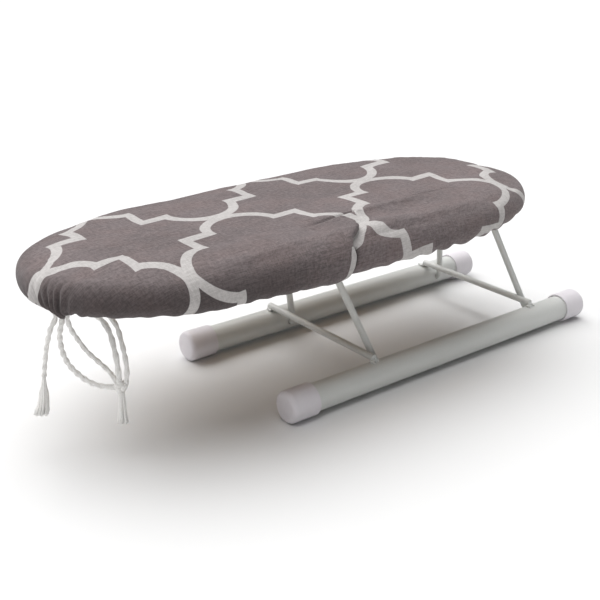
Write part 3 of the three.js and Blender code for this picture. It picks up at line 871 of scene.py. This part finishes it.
class Cloth:
    """The cover's points: on the flat cloth (flat), past the top's edge (past), round the hem (along)."""

    def __init__(self, count, spacing, row, density=None):
        ring, facing, along = outline(count, density)
        self.around = float(along[-1] + np.linalg.norm(ring[0] - ring[-1]))
        self.round = (along, ring, facing)
        edge = ring - facing * ROLL_R
        half_turn = math.pi * sum(CHANNEL_R) / 2
        marks = np.concatenate([
            np.arange(0, ROLL_ARC, row), ROLL_ARC + np.array([0, SEAM / 2, SEAM]),
            ROLL_ARC + HEM_FLAT + np.linspace(0, half_turn, 8),
            ROLL_ARC + HEM_FLAT + half_turn + np.array([1.6, 3.3, HEM_TURN]),
        ])
        inset, z, out, up = profile(marks)
        rings = np.concatenate([ring - facing * i for i in inset])
        top, top_faces = self.fill_top(edge, spacing)
        rim = len(marks) * count
        self.base = np.vstack([
            np.column_stack([rings, np.repeat(z, count)]),
            np.column_stack([top, np.full(len(top), BOARD_TOP)]),
        ])
        self.flat = np.vstack([edge + facing * mark for mark in marks] + [top])
        gap = np.linalg.norm(top[:, None] - edge[None], axis=2)
        nearest = gap.argmin(axis=1)
        self.past = np.concatenate([np.repeat(marks, count), -gap.min(axis=1)])
        self.along = np.concatenate([np.tile(along, len(marks)), along[nearest]])
        self.inset = np.repeat(inset, count)
        self.facing = np.vstack([np.tile(facing, (len(marks), 1)), facing[nearest]])
        self.out = np.concatenate([np.repeat(out, count), np.zeros(len(top))])
        self.up = np.concatenate([np.repeat(up, count), np.ones(len(top))])
        self.faces = [f[::-1] for f in grid_faces(len(marks), count, loop_columns=True)]
        self.faces += [tuple(i if i < count else rim - count + i for i in face) for face in top_faces]
        self.exit_along = float(along[np.linalg.norm(ring - EXIT_PLACE, axis=1).argmin()])

    def fill_top(self, edge, spacing):
        """Points inside the edge, closer along the creases, and triangles that join both."""
        def lattice(step):
            xs = np.arange(NOSE_X, TAIL_X, step)
            ys = np.arange(-80, 80, step * math.sqrt(0.75))
            return np.array([(x + (step / 2 if j % 2 else 0), y) for j, y in enumerate(ys) for x in xs])

        def to_crease(p):
            gaps = []
            for start, end, *_ in CREASES:
                span = np.subtract(end, start)
                f = np.clip((p - start) @ span / (span @ span), 0, 0.85)
                gaps.append(np.linalg.norm(p - start - f[:, None] * span, axis=1))
            return np.min(gaps, axis=0)
        coarse, fine = lattice(spacing), lattice(spacing / 4)
        inner = np.concatenate([coarse[to_crease(coarse) > 6], fine[to_crease(fine) <= 6]])
        gap = np.linalg.norm(inner[:, None] - edge[None], axis=2)
        nearest = gap.argmin(axis=1)
        ahead = edge[(nearest + 1) % len(edge)] - edge[nearest - 1]
        aside = inner - edge[nearest]
        inside = ahead[:, 0] * aside[:, 1] - ahead[:, 1] * aside[:, 0] > 0
        inner = inner[inside & (gap.min(axis=1) > 1.3)]
        everything = np.concatenate([edge, inner])
        made = delaunay_2d_cdt(
            [Vector(p) for p in everything], [], [list(range(len(edge)))], 1, 1e-6)
        given = [ids[0] for ids in made[3]]
        return inner, [tuple(given[i] for i in face) for face in made[2]]

    def row_at(self, mark):
        """The points of the ring that lies at a distance past the top's edge."""
        return np.flatnonzero(np.abs(self.past - mark) < 1e-6)

    def cut_area(self):
        rim = self.flat[self.row_at(self.past.max())]
        ahead = np.roll(rim, -1, axis=0)
        return abs((rim[:, 0] * ahead[:, 1] - rim[:, 1] * ahead[:, 0]).sum()) / 2

    def slid(self, distance):
        """The points, and the normals there, when the cloth slides round the board by a distance."""
        points, facing = self.base.copy(), self.facing.copy()
        aside = np.column_stack([-facing[:, 1], facing[:, 0]])
        points[:, :2] += aside * distance[:, None]
        rim = len(self.inset)
        along, ring, facings = self.round
        at = self.along[:rim] + distance[:rim]
        place = interpolate(at, along, ring, self.around)
        facing[:rim] = unit(interpolate(at, along, facings, self.around))
        points[:rim, :2] = place - facing[:rim] * self.inset[:, None]
        return points, np.column_stack([facing * self.out[:, None], self.up])

    def shape(self, wrinkles):
        """Where each point of the cloth lies; wrinkles is how far the settled cloth stands out."""
        past = self.past
        near = smooth_step(-20, -34, self.flat[:, 1])
        points, normal, lapped, gap, lap_shade = self.lap(near)
        creased, crease_shade = self.crease()
        pleated, pleat_shade = self.pleat()
        lift = wrinkles + self.soften() + lapped + creased + pleated + self.gather(near)
        # The nose is padded a little fuller at its tip.
        full = smooth_step(-150, -200, points[:, 0]) * smooth_step(0, 12, past) * smooth_step(38, 26, past)
        lift = np.maximum(lift + 1.6 * full, -DEEPEST - 0.9 * gap)
        under = past > ROLL_ARC - 3
        lift[under] = np.minimum(lift[under], 0.6)
        points += normal * lift[:, None]
        # The string pulls a small tip of the hem down where it comes out.
        points[:, 2] -= TIP_DROP * hump(self.along - self.exit_along, 0, 4.2) * hump(past, TIP_PAST, 6.5)
        # Painted shade in the bottom of the creases, pleats and folds.
        self.soil = np.clip(np.maximum.reduce([lap_shade, crease_shade, pleat_shade]), 0, 1)
        return points

    def soften(self):
        """The round edge and crown of the soft top, long tension wrinkles and a slow unevenness."""
        (x, y), past = self.flat.T, self.past
        lift = 0.5 * smooth_step(-12, -60, past) - 1.7 * hump(past, 3, 15)
        lift += smooth_step(4, -14, past) * 0.32 * wave_2d(x + 0.35 * y, y, 1, 60, 9)
        return lift + 0.45 * wave_2d(x, y, 2, 34, 26) * smooth_step(ROLL_ARC, 30, past)

    def lap(self, near):
        """The near side, pulled towards the nose: points, normals, lift, gap at the fold and painted shade
        in the groove beside the fold.
        """
        x, past = self.flat[:, 0], self.past
        near_side = near * smooth_step(ROLL_ARC + 7, ROLL_ARC - 6, past)
        across = x - np.interp(past, FOLD_PAST, FOLD_CLOTH_X)
        pulled = np.where(across < 0, np.interp(x, PULL_X, PULL), np.interp(x, PULL_BEYOND_X, PULL_BEYOND))
        moved = near_side * smooth_step(*PULL_PAST, past) * pulled
        lapped = np.interp(past, FOLD_PAST, FOLD_LIES_X) + np.interp(across, LAP[:, 0], LAP[:, 1]) - x
        to_fold = smooth_step(-24, -7, across) * smooth_step(34, 11, across) * smooth_step(-17, -9, past)
        points, normal = self.slid(moved + (lapped - moved) * to_fold * near_side)
        puff = 0.3 + 0.7 * np.sin(np.clip((past + 16) / (ROLL_ARC + 12), 0, 1) * math.pi) ** 0.7
        bulge = np.interp(x, BULGE_X, BULGE) * np.interp(across, LAP[:, 0], LAP[:, 2])
        lift = near_side * smooth_step(-29, -3, past) * bulge * puff
        lift += 1.7 * hump(x, 8, 19) * hump(past, -5, 9) * near * smooth_step(1, 14, across)
        lower = near_side * smooth_step(10, 15, past)
        gap = lower * hump(across, 4.0, 1.5)
        return points, normal, lift - 3.0 * gap, gap, 0.85 * lower * hump(across, 8.0, 1.5)

    def crease(self):
        """The creases along the top: lift and painted shade in their bottoms."""
        lift, painted_shade = np.zeros((2, len(self.flat)))
        for start, end, depth, ridge, (rise, fall) in CREASES:
            span, place = np.subtract(end, start), self.flat - start
            f = place @ span / (span @ span)
            side = (place[:, 0] * span[1] - place[:, 1] * span[0]) / np.linalg.norm(span) * np.sign(span[0])
            fade = smooth_step(-rise, rise, f) * smooth_step(1.0, 1.0 - fall, f)
            lift += fade * (ridge * hump(side, 3.4, 2.9) - depth * hump(side, 0, 1.15))
            painted_shade = np.maximum(painted_shade, 0.27 * depth * fade * hump(side, 0, 1.0))
        return lift, painted_shade

    def pleat(self):
        """The pleats that fan out from the string's exit: lift and painted shade in their grooves."""
        sideways, upward = self.along - self.exit_along, ROLL_ARC + 2 - self.past
        reach = np.hypot(sideways, upward)
        fan = np.arctan2(sideways, np.maximum(upward, -4) + PLEAT_CENTRE) + 0.05 * wave(reach, 3, 9.0)
        held = smooth_step(38, 12, reach) * smooth_step(-6, 4, upward)
        lift, painted_shade = -1.2 * hump(reach, 0, 12), np.zeros(len(reach))
        for angle, depth, width in PLEATS:
            offset = (fan - angle) / width
            lift -= held * depth * (hump(offset, 0, 1) - 0.42 * hump(np.abs(offset), 2.1, 1))
            painted_shade = np.maximum(painted_shade, 0.2 * held * depth * hump(offset, 0, 0.8))
        return lift, painted_shade

    def gather(self, near):
        """Gathers of the hem, and slow scallops along its lower edge."""
        past, along = self.past, self.along
        hem = smooth_step(ROLL_ARC + HEM_FLAT + 6, ROLL_ARC + 1, past)
        lift = 0.38 * (wave(along, 4, 5.0) + 0.6 * wave(along, 5, 2.6))
        lift *= smooth_step(22, ROLL_ARC - 2, past)
        scallop = np.cos((along + 5 * wave(along, 6, 40)) * 2 * math.pi / SCALLOP_PITCH) - 0.4
        depth = 0.35 + 0.75 * smooth_step(20, 60, self.flat[:, 0]) * near
        return hem * (lift + depth * scallop * smooth_step(20, 36, past))

    def printed(self):
        """Each point's place on the printed cloth."""
        place = self.flat.copy()
        for spot, pull, reach in TUGS:
            near = hump(np.linalg.norm(self.flat - spot, axis=1), 0, reach)
            place -= near[:, None] * pull
        return place


def settle(fine):
    """How far each point of the cover moves when its cloth settles, from a simulation.

    A coarser cover starts in the shape of the pad with its hem held. Its rest shape is the flat
    cut, so that the spare cloth at the rounded ends gathers by itself.
    """
    coarse = Cloth(SIM_COUNT, SIM_SPACING, SIM_ROW)
    mesh = make_mesh("settling", coarse.base, coarse.faces)
    piece = add_object("settling", mesh)
    piece.shape_key_add(name="start")
    cut = piece.shape_key_add(name="cut")
    flat = np.column_stack([coarse.flat, np.full(len(coarse.flat), BOARD_TOP)]) * MM
    cut.data.foreach_set("co", flat.ravel())
    cut.value = 0
    held = piece.vertex_groups.new(name="held")
    weights = np.maximum(smooth_step(ROLL_ARC - 6, ROLL_ARC - 1, coarse.past), 0.02)
    for i, weight in enumerate(weights):
        held.add([i], float(weight), "REPLACE")
    cloth = piece.modifiers.new("cloth", "CLOTH")
    settings = {
        "rest_shape_key": cut, "vertex_group_mass": "held", "pin_stiffness": 1.0, "quality": 6,
        "mass": 0.25, "tension_stiffness": 18, "compression_stiffness": 18, "shear_stiffness": 6,
        "bending_stiffness": 0.08, "use_pressure": True, "uniform_pressure_force": SIM_PRESSURE,
    }
    for key, value in settings.items():
        setattr(cloth.settings, key, value)
    cloth.settings.effector_weights.gravity = 0
    cloth.point_cache.frame_end = SIM_FRAMES
    for frame_number in range(1, SIM_FRAMES + 1):
        bpy.context.scene.frame_set(frame_number)
    graph = bpy.context.evaluated_depsgraph_get()
    settled = piece.evaluated_get(graph).to_mesh()
    ends = np.empty(len(coarse.base) * 3)
    settled.vertices.foreach_get("co", ends)
    moved = ends.reshape(-1, 3) / MM - coarse.base
    bpy.data.objects.remove(piece)
    bpy.context.scene.frame_set(1)
    tree = kdtree.KDTree(len(coarse.flat))
    for i, (u, v) in enumerate(coarse.flat):
        tree.insert((u, v, 0), i)
    tree.balance()
    rise = (moved * coarse.slid(np.zeros(len(coarse.flat)))[1]).sum(axis=1)
    broad = np.empty(len(rise))
    for i, (u, v) in enumerate(coarse.flat):
        near = [k for _, k, _ in tree.find_range((u, v, 0), SIM_BROAD)]
        broad[i] = rise[near].mean()
    # Only the wrinkles are kept: the pad holds the cloth's broad shape.
    wrinkle = np.clip(rise - broad, -SIM_LIMIT, SIM_LIMIT)
    result = np.zeros(len(fine.flat))
    for i, (u, v) in enumerate(fine.flat):
        found = tree.find_n((u, v, 0), 5)
        share = np.array([1 / (gap * gap + 0.8) for _, _, gap in found])
        result[i] = share @ wrinkle[[k for _, k, _ in found]] / share.sum()
    return result


def make_cover():
    cloth = Cloth(RING_COUNT, TOP_SPACING, ROW_STEP, ring_density)
    points = cloth.shape(settle(cloth))
    piece = make_piece("cover_cloth", (points, cloth.faces), "board", COVER, "cover")
    attributes = {
        "cloth": np.column_stack([cloth.printed(), cloth.past]),
        # Painted shade in the creases, pleats and folds, for the material.
        "soil": np.repeat(cloth.soil, 3),
    }
    for name, values in attributes.items():
        record = piece.data.attributes.new(name, "FLOAT_VECTOR", "POINT")
        record.data.foreach_set("vector", values.ravel())
    finer = piece.modifiers.new("finer", "SUBSURF")
    finer.levels = finer.render_levels = 1
    bake_modifiers(piece)
    seam = points[cloth.row_at(ROLL_ARC + SEAM)]
    cloth.cut_area() * MM * MM
    make_stitches(seam)
    make_hem_string()


def make_stitches(seam):
    """A row of stitches along the hem's seam, on the underside."""
    line = np.vstack([seam, seam[:1]])
    along = distances(line)
    count = int(along[-1] / STITCH_PITCH)
    stitch = np.linspace(0, 1, 6)
    parts = []
    for k in range(count):
        shown = k + (1 - STITCH_SHARE) / 2 + STITCH_SHARE * stitch
        route = interpolate(shown * along[-1] / count, along, line)
        route[:, 2] += 0.30 - 0.55 * np.sin(stitch * math.pi) ** 0.5
        parts.append(sweep(route, THREAD_R, 6))
    return make_piece("hem_stitches", join_parts(parts), "board", THREAD)


def make_hem_string():
    """The string in the hem's channel, all round but for a gap at its exit."""
    ring, facing, along = outline(900)
    exit_at = along[np.linalg.norm(ring - EXIT_PLACE, axis=1).argmin()]
    ring = ring - facing * STRING_INSET
    whole = along[-1] + along[1]
    order = np.argsort((along - exit_at) % whole)
    away = np.minimum((along - exit_at) % whole, (exit_at - along) % whole)[order]
    route = ring[order][away > STRING_GAP]
    route = np.column_stack([route, np.full(len(route), BOARD_UNDERSIDE + CHANNEL_R[1])])
    return string_piece("drawstring_hem", sweep(route, rope_section(1.35, 0.62), 14))


# ---- pad and panel ----

PANEL_INSET = 8.0
PANEL_BEVEL = 0.7
PAD_INSET = 5.0          # leaves room under the cover for its creases
PAD_TOP = 117.6
PAD_MIDDLE = 40.0        # from the outline to the single flat face on each side of the pad
GAP = 0.3                # between pieces that touch


def outline_ring(ring, facing, inset, z):
    """The board's outline moved inwards, at a height."""
    return np.column_stack([ring - facing * inset, np.full(len(ring), z)])


def make_pad():
    """Foam over the panel and down round its edge, open below."""
    ring, facing, _ = outline(300)
    radius = (PAD_TOP - PANEL_LOW) / 2
    section = []
    for a in np.linspace(0, math.pi, 13):
        section.append((PAD_INSET + radius * (1 - math.sin(a)), PAD_TOP - radius * (1 - math.cos(a))))
    wall = PANEL_INSET - GAP
    section += [(wall, PANEL_LOW), (wall, PANEL_HIGH + GAP)]
    flats = [(PAD_MIDDLE, PAD_TOP), (PAD_MIDDLE, PANEL_HIGH + GAP)]
    points = np.concatenate([outline_ring(ring, facing, *place) for place in section + flats])
    count = len(ring)
    faces = [f[::-1] for f in grid_faces(len(section), count, loop_columns=True)]
    bottom, start = (len(section) - 1) * count, len(section) * count
    for j in range(count):
        k = (j + 1) % count
        faces.append((start + j, start + k, k, j))
        faces.append((bottom + j, bottom + k, start + count + k, start + count + j))
    faces.append(tuple(range(start, start + count)))
    faces.append(tuple(range(start + count, start + 2 * count))[::-1])
    piece = make_piece("pad", (points, faces), "board", FOAM, "foam_pad")
    sharpen(piece, 40)


def make_panel():
    """A board of the outline's shape with bevelled edges."""
    ring, facing, _ = outline(260)
    section = [
        (PANEL_INSET + PANEL_BEVEL, PANEL_LOW), (PANEL_INSET, PANEL_LOW + PANEL_BEVEL),
        (PANEL_INSET, PANEL_HIGH - PANEL_BEVEL), (PANEL_INSET + PANEL_BEVEL, PANEL_HIGH),
    ]
    points = np.concatenate([outline_ring(ring, facing, *place) for place in section])
    count = len(ring)
    faces = grid_faces(len(section), count, loop_columns=True)
    faces += [tuple(range(count))[::-1], tuple(range(3 * count, 4 * count))]
    piece = make_piece("panel", (points, faces), "board", HARDBOARD, "board_panel")
    sharpen(piece, 50)


# ---- stand ----

TUBE_WALL = 1.0
CAP_FLOOR, CAP_ROUND, CAP_LIP = 2.2, 3.5, 0.5
CAP_DIP = 0.02           # how far the end face dips between its centre and its rim
WIRE_R = 2.4
FLANK_BEAD, TIP_BEAD = (2.9, 1.3, 1.1), (2.5, 0.9, 1.6)     # half sizes of the welds
DOME = 0.7               # the length of the rounding at the ends of the cross bars
LEAN = math.radians(19)
LEG_FOOT_Y, LEG_TOP_Y = 47.6, 22.6
FOOT_BEND, TOP_BEND = 3.5, 9.0
PIVOT_HOLE_R = 3.0
SIDES = {"near": -1, "far": 1}


def cut_with(piece, cutters):
    """Takes closed meshes, given as (points, faces), out of a piece."""
    for shape in cutters:
        cutter = add_object("cutter", make_mesh("cutter", *shape))
        cut = piece.modifiers.new("cut", "BOOLEAN")
        cut.operation, cut.solver, cut.object = "DIFFERENCE", "EXACT", cutter
        bake_modifiers(piece)
        bpy.data.objects.remove(cutter)


def make_tube(side_name):
    """A floor tube: its outside and its bore, joined at the ends, with the holes for the legs."""
    side, sides = SIDES[side_name], 72
    angles = circle(sides)
    xs = np.linspace(BASE_FRONT + CAP_FLOOR + GAP, BASE_REAR - CAP_FLOOR - GAP, 96)
    rows = []
    for radius, line in ((TUBE_R, xs), (TUBE_R - TUBE_WALL, xs[::-1])):
        y, z = side * HALF_TRACK + radius * np.cos(angles), TUBE_Z + radius * np.sin(angles)
        rows += [np.column_stack([np.full(sides, x), y, z]) for x in line]
    faces = [f[::-1] for f in grid_faces(len(rows), sides, loop_rows=True, loop_columns=True)]
    shape = (np.concatenate(rows), faces)
    piece = make_piece("floor_tube_" + side_name, shape, "stand", PAINT, "tube_" + side_name)
    holes = []
    for x in LEG_PIVOTS.values():
        line = [(x, side * (HALF_TRACK - d), TUBE_Z) for d in (2.0, TUBE_R + 3)]
        holes.append(sweep(line, PIVOT_HOLE_R, 32))
    cut_with(piece, holes)
    sharpen(piece, 40)


def make_cap(side_name, end):
    """A blind cap: a domed edge outside, a thin lip and the bore at its open end."""
    bore = TUBE_R + GAP
    profile = [(0, 0), (CAP_DIP, (CAP_R - CAP_ROUND) / 2)]
    for a in quarter(8)[::-1]:
        profile.append((CAP_ROUND * (1 - math.sin(a)), CAP_R - CAP_ROUND * (1 - math.cos(a))))
    profile += [(CAP_LENGTH / 2, CAP_R - 0.05), (CAP_LENGTH - CAP_LIP * 2, CAP_R)]
    for a in quarter(4):
        profile.append((CAP_LENGTH - CAP_LIP * (1 - math.sin(a)), CAP_R - CAP_LIP * (1 - math.cos(a))))
    profile += [(CAP_LENGTH, bore + 0.25), (CAP_LENGTH - 0.3, bore), (CAP_FLOOR, bore), (CAP_FLOOR, 0)]
    points, faces = lathe(profile, 80)
    x = BASE_FRONT
    if end == "rear":
        points = points * [-1, -1, 1]
        x = BASE_REAR
    points = points + [x, SIDES[side_name] * HALF_TRACK, TUBE_Z]
    label = f"cap_{end}_{side_name}"
    piece = make_piece("end_" + label, (points, faces), "stand", CAP, label)
    sharpen(piece, 50)


def domed_rod(start, end, radius):
    """A straight wire with its ends rounded off over DOME."""
    start, end = np.array(start, float), np.array(end, float)
    length = np.linalg.norm(end - start)
    marks = [0, 0.12 * DOME, 0.4 * DOME, DOME]
    marks = marks + list(np.linspace(DOME, length - DOME, 24))[1:-1] + [length - m for m in marks[::-1]]
    radii = {0: 0.72, 0.12 * DOME: 0.86, 0.4 * DOME: 0.95}
    route = [start + (end - start) * m / length for m in marks]
    scale = [radii.get(min(m, round(length - m, 6)), 1.0) for m in marks]
    lookup = np.array(marks)

    def section(angles, along):
        return np.full(len(angles), radius * scale[int(np.abs(lookup - along).argmin())])
    return sweep(route, section, 32)


def weld_bead(centre, along, radii, seed):
    """A lumpy fillet: an ellipsoid with its surface unevenly raised; along is its length's direction."""
    made = bmesh.new()
    bmesh.ops.create_icosphere(made, subdivisions=4, radius=1.0)
    points = np.array([v.co for v in made.verts])
    faces = [tuple(v.index for v in f.verts) for f in made.faces]
    made.free()
    lumps = np.array([noise.noise(Vector(p * 1.6) + Vector((seed * 3.1, 0, 0))) for p in points])
    ripple = 0.06 * np.cos(points[:, 0] * 9 + seed)
    points = points * (1 + 0.28 * lumps + ripple)[:, None] * radii
    across = (-along[1], along[0], 0.0)
    axes = np.array([(*along, 0.0), across, (0.0, 0.0, 1.0)])
    return points @ axes + centre, faces


def make_bars():
    """The cross bars, each with two beads beside it and one at its tip on both tubes."""
    for number, (name, (x, start, end)) in enumerate(BARS.items()):
        rod = domed_rod((x, start, BAR_Z), (x, end, BAR_Z), WIRE_R)
        piece = make_piece("cross_bar_piece_" + name, rod, "stand", PAINT, "cross_bar_" + name)
        sharpen(piece, 60)
        beads = []
        for side, tip, seed in ((-1, start, 3), (1, end, 8)):
            for flank in (-1, 1):
                place = (x + flank * 2.3, side * (HALF_TRACK - 1.2 - 0.6 * flank), BAR_Z - 2.1)
                beads.append(weld_bead(place, (0.0, 1.0), FLANK_BEAD, seed + flank + 11 * number))
            place = (x + 0.4, tip + side * 0.2, BAR_Z - 1.5)
            beads.append(weld_bead(place, (1.0, 0.0), TIP_BEAD, seed + 5 * number))
        make_piece("weld_beads_" + name, join_parts(beads), "stand", PAINT)


def make_legs():
    """Each leg is one wire: in from the tube, up, across under the board and down again."""
    reach = (WIRE_TOP_Z - TUBE_Z) / math.cos(LEAN)
    corners = [
        (-LEG_TIP_Y, 0, 0), (-LEG_FOOT_Y, 0, FOOT_BEND), (-LEG_TOP_Y, reach, TOP_BEND),
        (LEG_TOP_Y, reach, TOP_BEND), (LEG_FOOT_Y, 0, FOOT_BEND), (LEG_TIP_Y, 0, 0),
    ]
    flat = rounded(corners, 12)
    line = [flat[0]]
    for here, there in zip(flat[:-1], flat[1:]):
        count = max(1, int(np.linalg.norm(there - here) / 4))
        line += [here + (there - here) * k / count for k in range(1, count + 1)]
    line = np.array(line)
    up = np.array([-math.sin(LEAN), 0, math.cos(LEAN)])
    for name, x in LEG_PIVOTS.items():
        route = np.array([x, 0, TUBE_Z]) + np.outer(line[:, 0], (0, 1, 0)) + np.outer(line[:, 1], up)
        wire = sweep(route, WIRE_R, 32, first_side=(1, 0, 0))
        piece = make_piece("leg_wire_" + name, wire, name + "_leg", PAINT, "leg_" + name)
        sharpen(piece, 60)


# ---- clips and screws ----

CLIP_THICKNESS, CLIP_FLANGE = 1.0, 6.4
SCREW_HEAD_R, SCREW_HEAD_HEIGHT = 2.9, 1.8
SCREW_SHANK_R, SCREW_TAPER_AT, SCREW_LENGTH = 1.5, 6.0, 9.0
RECESS_HALF, RECESS_WIDTH_HALF, RECESS_FLOOR = 1.7, 0.4, 0.95
SADDLE_R = WIRE_R + GAP
SCREW_OFFSET = SADDLE_R + CLIP_THICKNESS + CLIP_FLANGE / 2


def clip_strap():
    """A strap about the wire's axis, with a flange on each side: its outline swept across its width."""
    outer, top = SADDLE_R + CLIP_THICKNESS, WIRE_R
    reach, under = outer + CLIP_FLANGE, top - CLIP_THICKNESS
    turn = np.linspace(math.pi, 2 * math.pi, 21)
    line = [(-reach, top), (-reach, under), (-outer, under)]
    line += [(outer * math.cos(a), outer * math.sin(a)) for a in turn]
    line += [(outer, under), (reach, under), (reach, top), (SADDLE_R, top)]
    line += [(SADDLE_R * math.cos(a), SADDLE_R * math.sin(a)) for a in turn[::-1]]
    line += [(-SADDLE_R, top)]
    count = len(line)
    points = [(u, y, v) for y in (-CLIP_HALF, CLIP_HALF) for u, v in line]
    faces = [f[::-1] for f in grid_faces(2, count, loop_columns=True)]
    faces += [tuple(range(count)), tuple(range(count, 2 * count))[::-1]]
    return np.array(points), faces


def make_clips():
    seat = PANEL_LOW - GAP - CLIP_THICKNESS
    for leg, pivot in LEG_PIVOTS.items():
        x = pivot - (WIRE_TOP_Z - TUBE_Z) * math.tan(LEAN)
        for side_name, side in SIDES.items():
            points, faces = clip_strap()
            label = f"{leg}_{side_name}"
            shape = (points + (x, side * CLIP_Y, WIRE_TOP_Z), faces)
            piece = make_piece("saddle_" + label, shape, "board", ZINC, "clip_" + label)
            edge = piece.modifiers.new("edge", "BEVEL")
            edge.width, edge.segments, edge.limit_method = 0.22 * MM, 2, "ANGLE"
            edge.angle_limit = math.radians(40)
            bake_modifiers(piece)
            sharpen(piece, 40)
            for key, way in (("a", -1), ("b", 1)):
                make_screw(f"screw_{label}_{key}", (x + way * SCREW_OFFSET, side * CLIP_Y, seat))


def make_screw(node, place):
    """A pan-head wood screw, driven upwards, with a cross recess."""
    profile = [(-SCREW_HEAD_HEIGHT, 0)]
    for a in quarter(8)[1:]:
        profile.append((-SCREW_HEAD_HEIGHT * (0.25 + 0.75 * math.cos(a)), SCREW_HEAD_R * math.sin(a)))
    profile += [(-0.08, SCREW_HEAD_R), (0, SCREW_HEAD_R - 0.08)]
    profile += [(0, SCREW_SHANK_R), (SCREW_TAPER_AT, SCREW_SHANK_R), (SCREW_LENGTH, 0)]
    points, faces = lathe(profile, 40)
    points = points[:, [1, 2, 0]] + place
    piece = make_piece("pan_" + node, (points, faces), "board", ZINC, node)
    cutters = []
    sides = [(0, 3, 2, 1), (4, 5, 6, 7), (0, 1, 5, 4), (1, 2, 6, 5), (2, 3, 7, 6), (3, 0, 4, 7)]
    for a, b in ((RECESS_HALF, RECESS_WIDTH_HALF), (RECESS_WIDTH_HALF, RECESS_HALF)):
        corners = [(-a, -b), (a, -b), (a, b), (-a, b)]
        box = [(u, v, z) for z in (-3.0, -RECESS_FLOOR) for u, v in corners]
        cutters.append((np.add(box, place), sides))
    cut_with(piece, cutters)
    sharpen(piece, 35)


make_cover()
make_pad()
make_panel()
for side_label in SIDES:
    make_tube(side_label)
    for end_label in ("front", "rear"):
        make_cap(side_label, end_label)
make_bars()
make_legs()
make_clips()

# ---- light and floor ----

# Each sun: the direction that it shines in, its strength and how wide it is in degrees.
SUNS = {"key": ((0.14, -0.34, -1.0), 4.3, 80), "fill": ((0.5, 0.5, -0.5), 0.26, 60)}
FLOOR_HALF = 8000.0

def make_studio():
    """A white surround and two very wide, soft lights from above, the fill from the nose's side."""
    world = bpy.data.worlds.new("studio")
    world.use_nodes = True
    tree = world.node_tree
    background = tree.nodes["Background"]
    background.inputs["Color"].default_value = (1.0, 1.0, 1.0, 1)
    # White at the horizon, where the floor ends, and dim overhead, where the lights are.
    split = tree.nodes.new("ShaderNodeSeparateXYZ")
    fade = tree.nodes.new("ShaderNodeMapRange")
    tree.links.new(tree.nodes.new("ShaderNodeTexCoord").outputs["Generated"], split.inputs[0])
    tree.links.new(split.outputs["Z"], fade.inputs["Value"])
    for key, value in (("From Min", 0.01), ("From Max", 0.07), ("To Min", 1.0), ("To Max", 0.07)):
        fade.inputs[key].default_value = value
    tree.links.new(fade.outputs[0], background.inputs["Strength"])
    bpy.context.scene.world = world
    for name, (towards, power, spread) in SUNS.items():
        data = bpy.data.lights.new(name, "SUN")
        data.energy = power
        data.angle = math.radians(spread)
        light = add_object(name, data)
        light.location = (0, 0, 1)
        aim(light, towards)
    bpy.context.scene.view_settings.view_transform = "Standard"


def make_floor():
    look = Look("pale_floor", roughness=0.9, specular=0.1)
    mottle = look.noise(look.place(), 0.004, 2.0)
    look.put("Base Color", look.mix(mottle, (0.775, 0.775, 0.775), (0.80, 0.80, 0.80)))
    steps = 7
    line = np.linspace(-FLOOR_HALF, FLOOR_HALF, steps)
    mesh = make_mesh("floor", [(x, y, 0) for x in line for y in line],
                     [f[::-1] for f in grid_faces(steps, steps)])
    mesh.materials.append(look.material)
    add_object("floor", mesh)


make_studio()
make_floor()
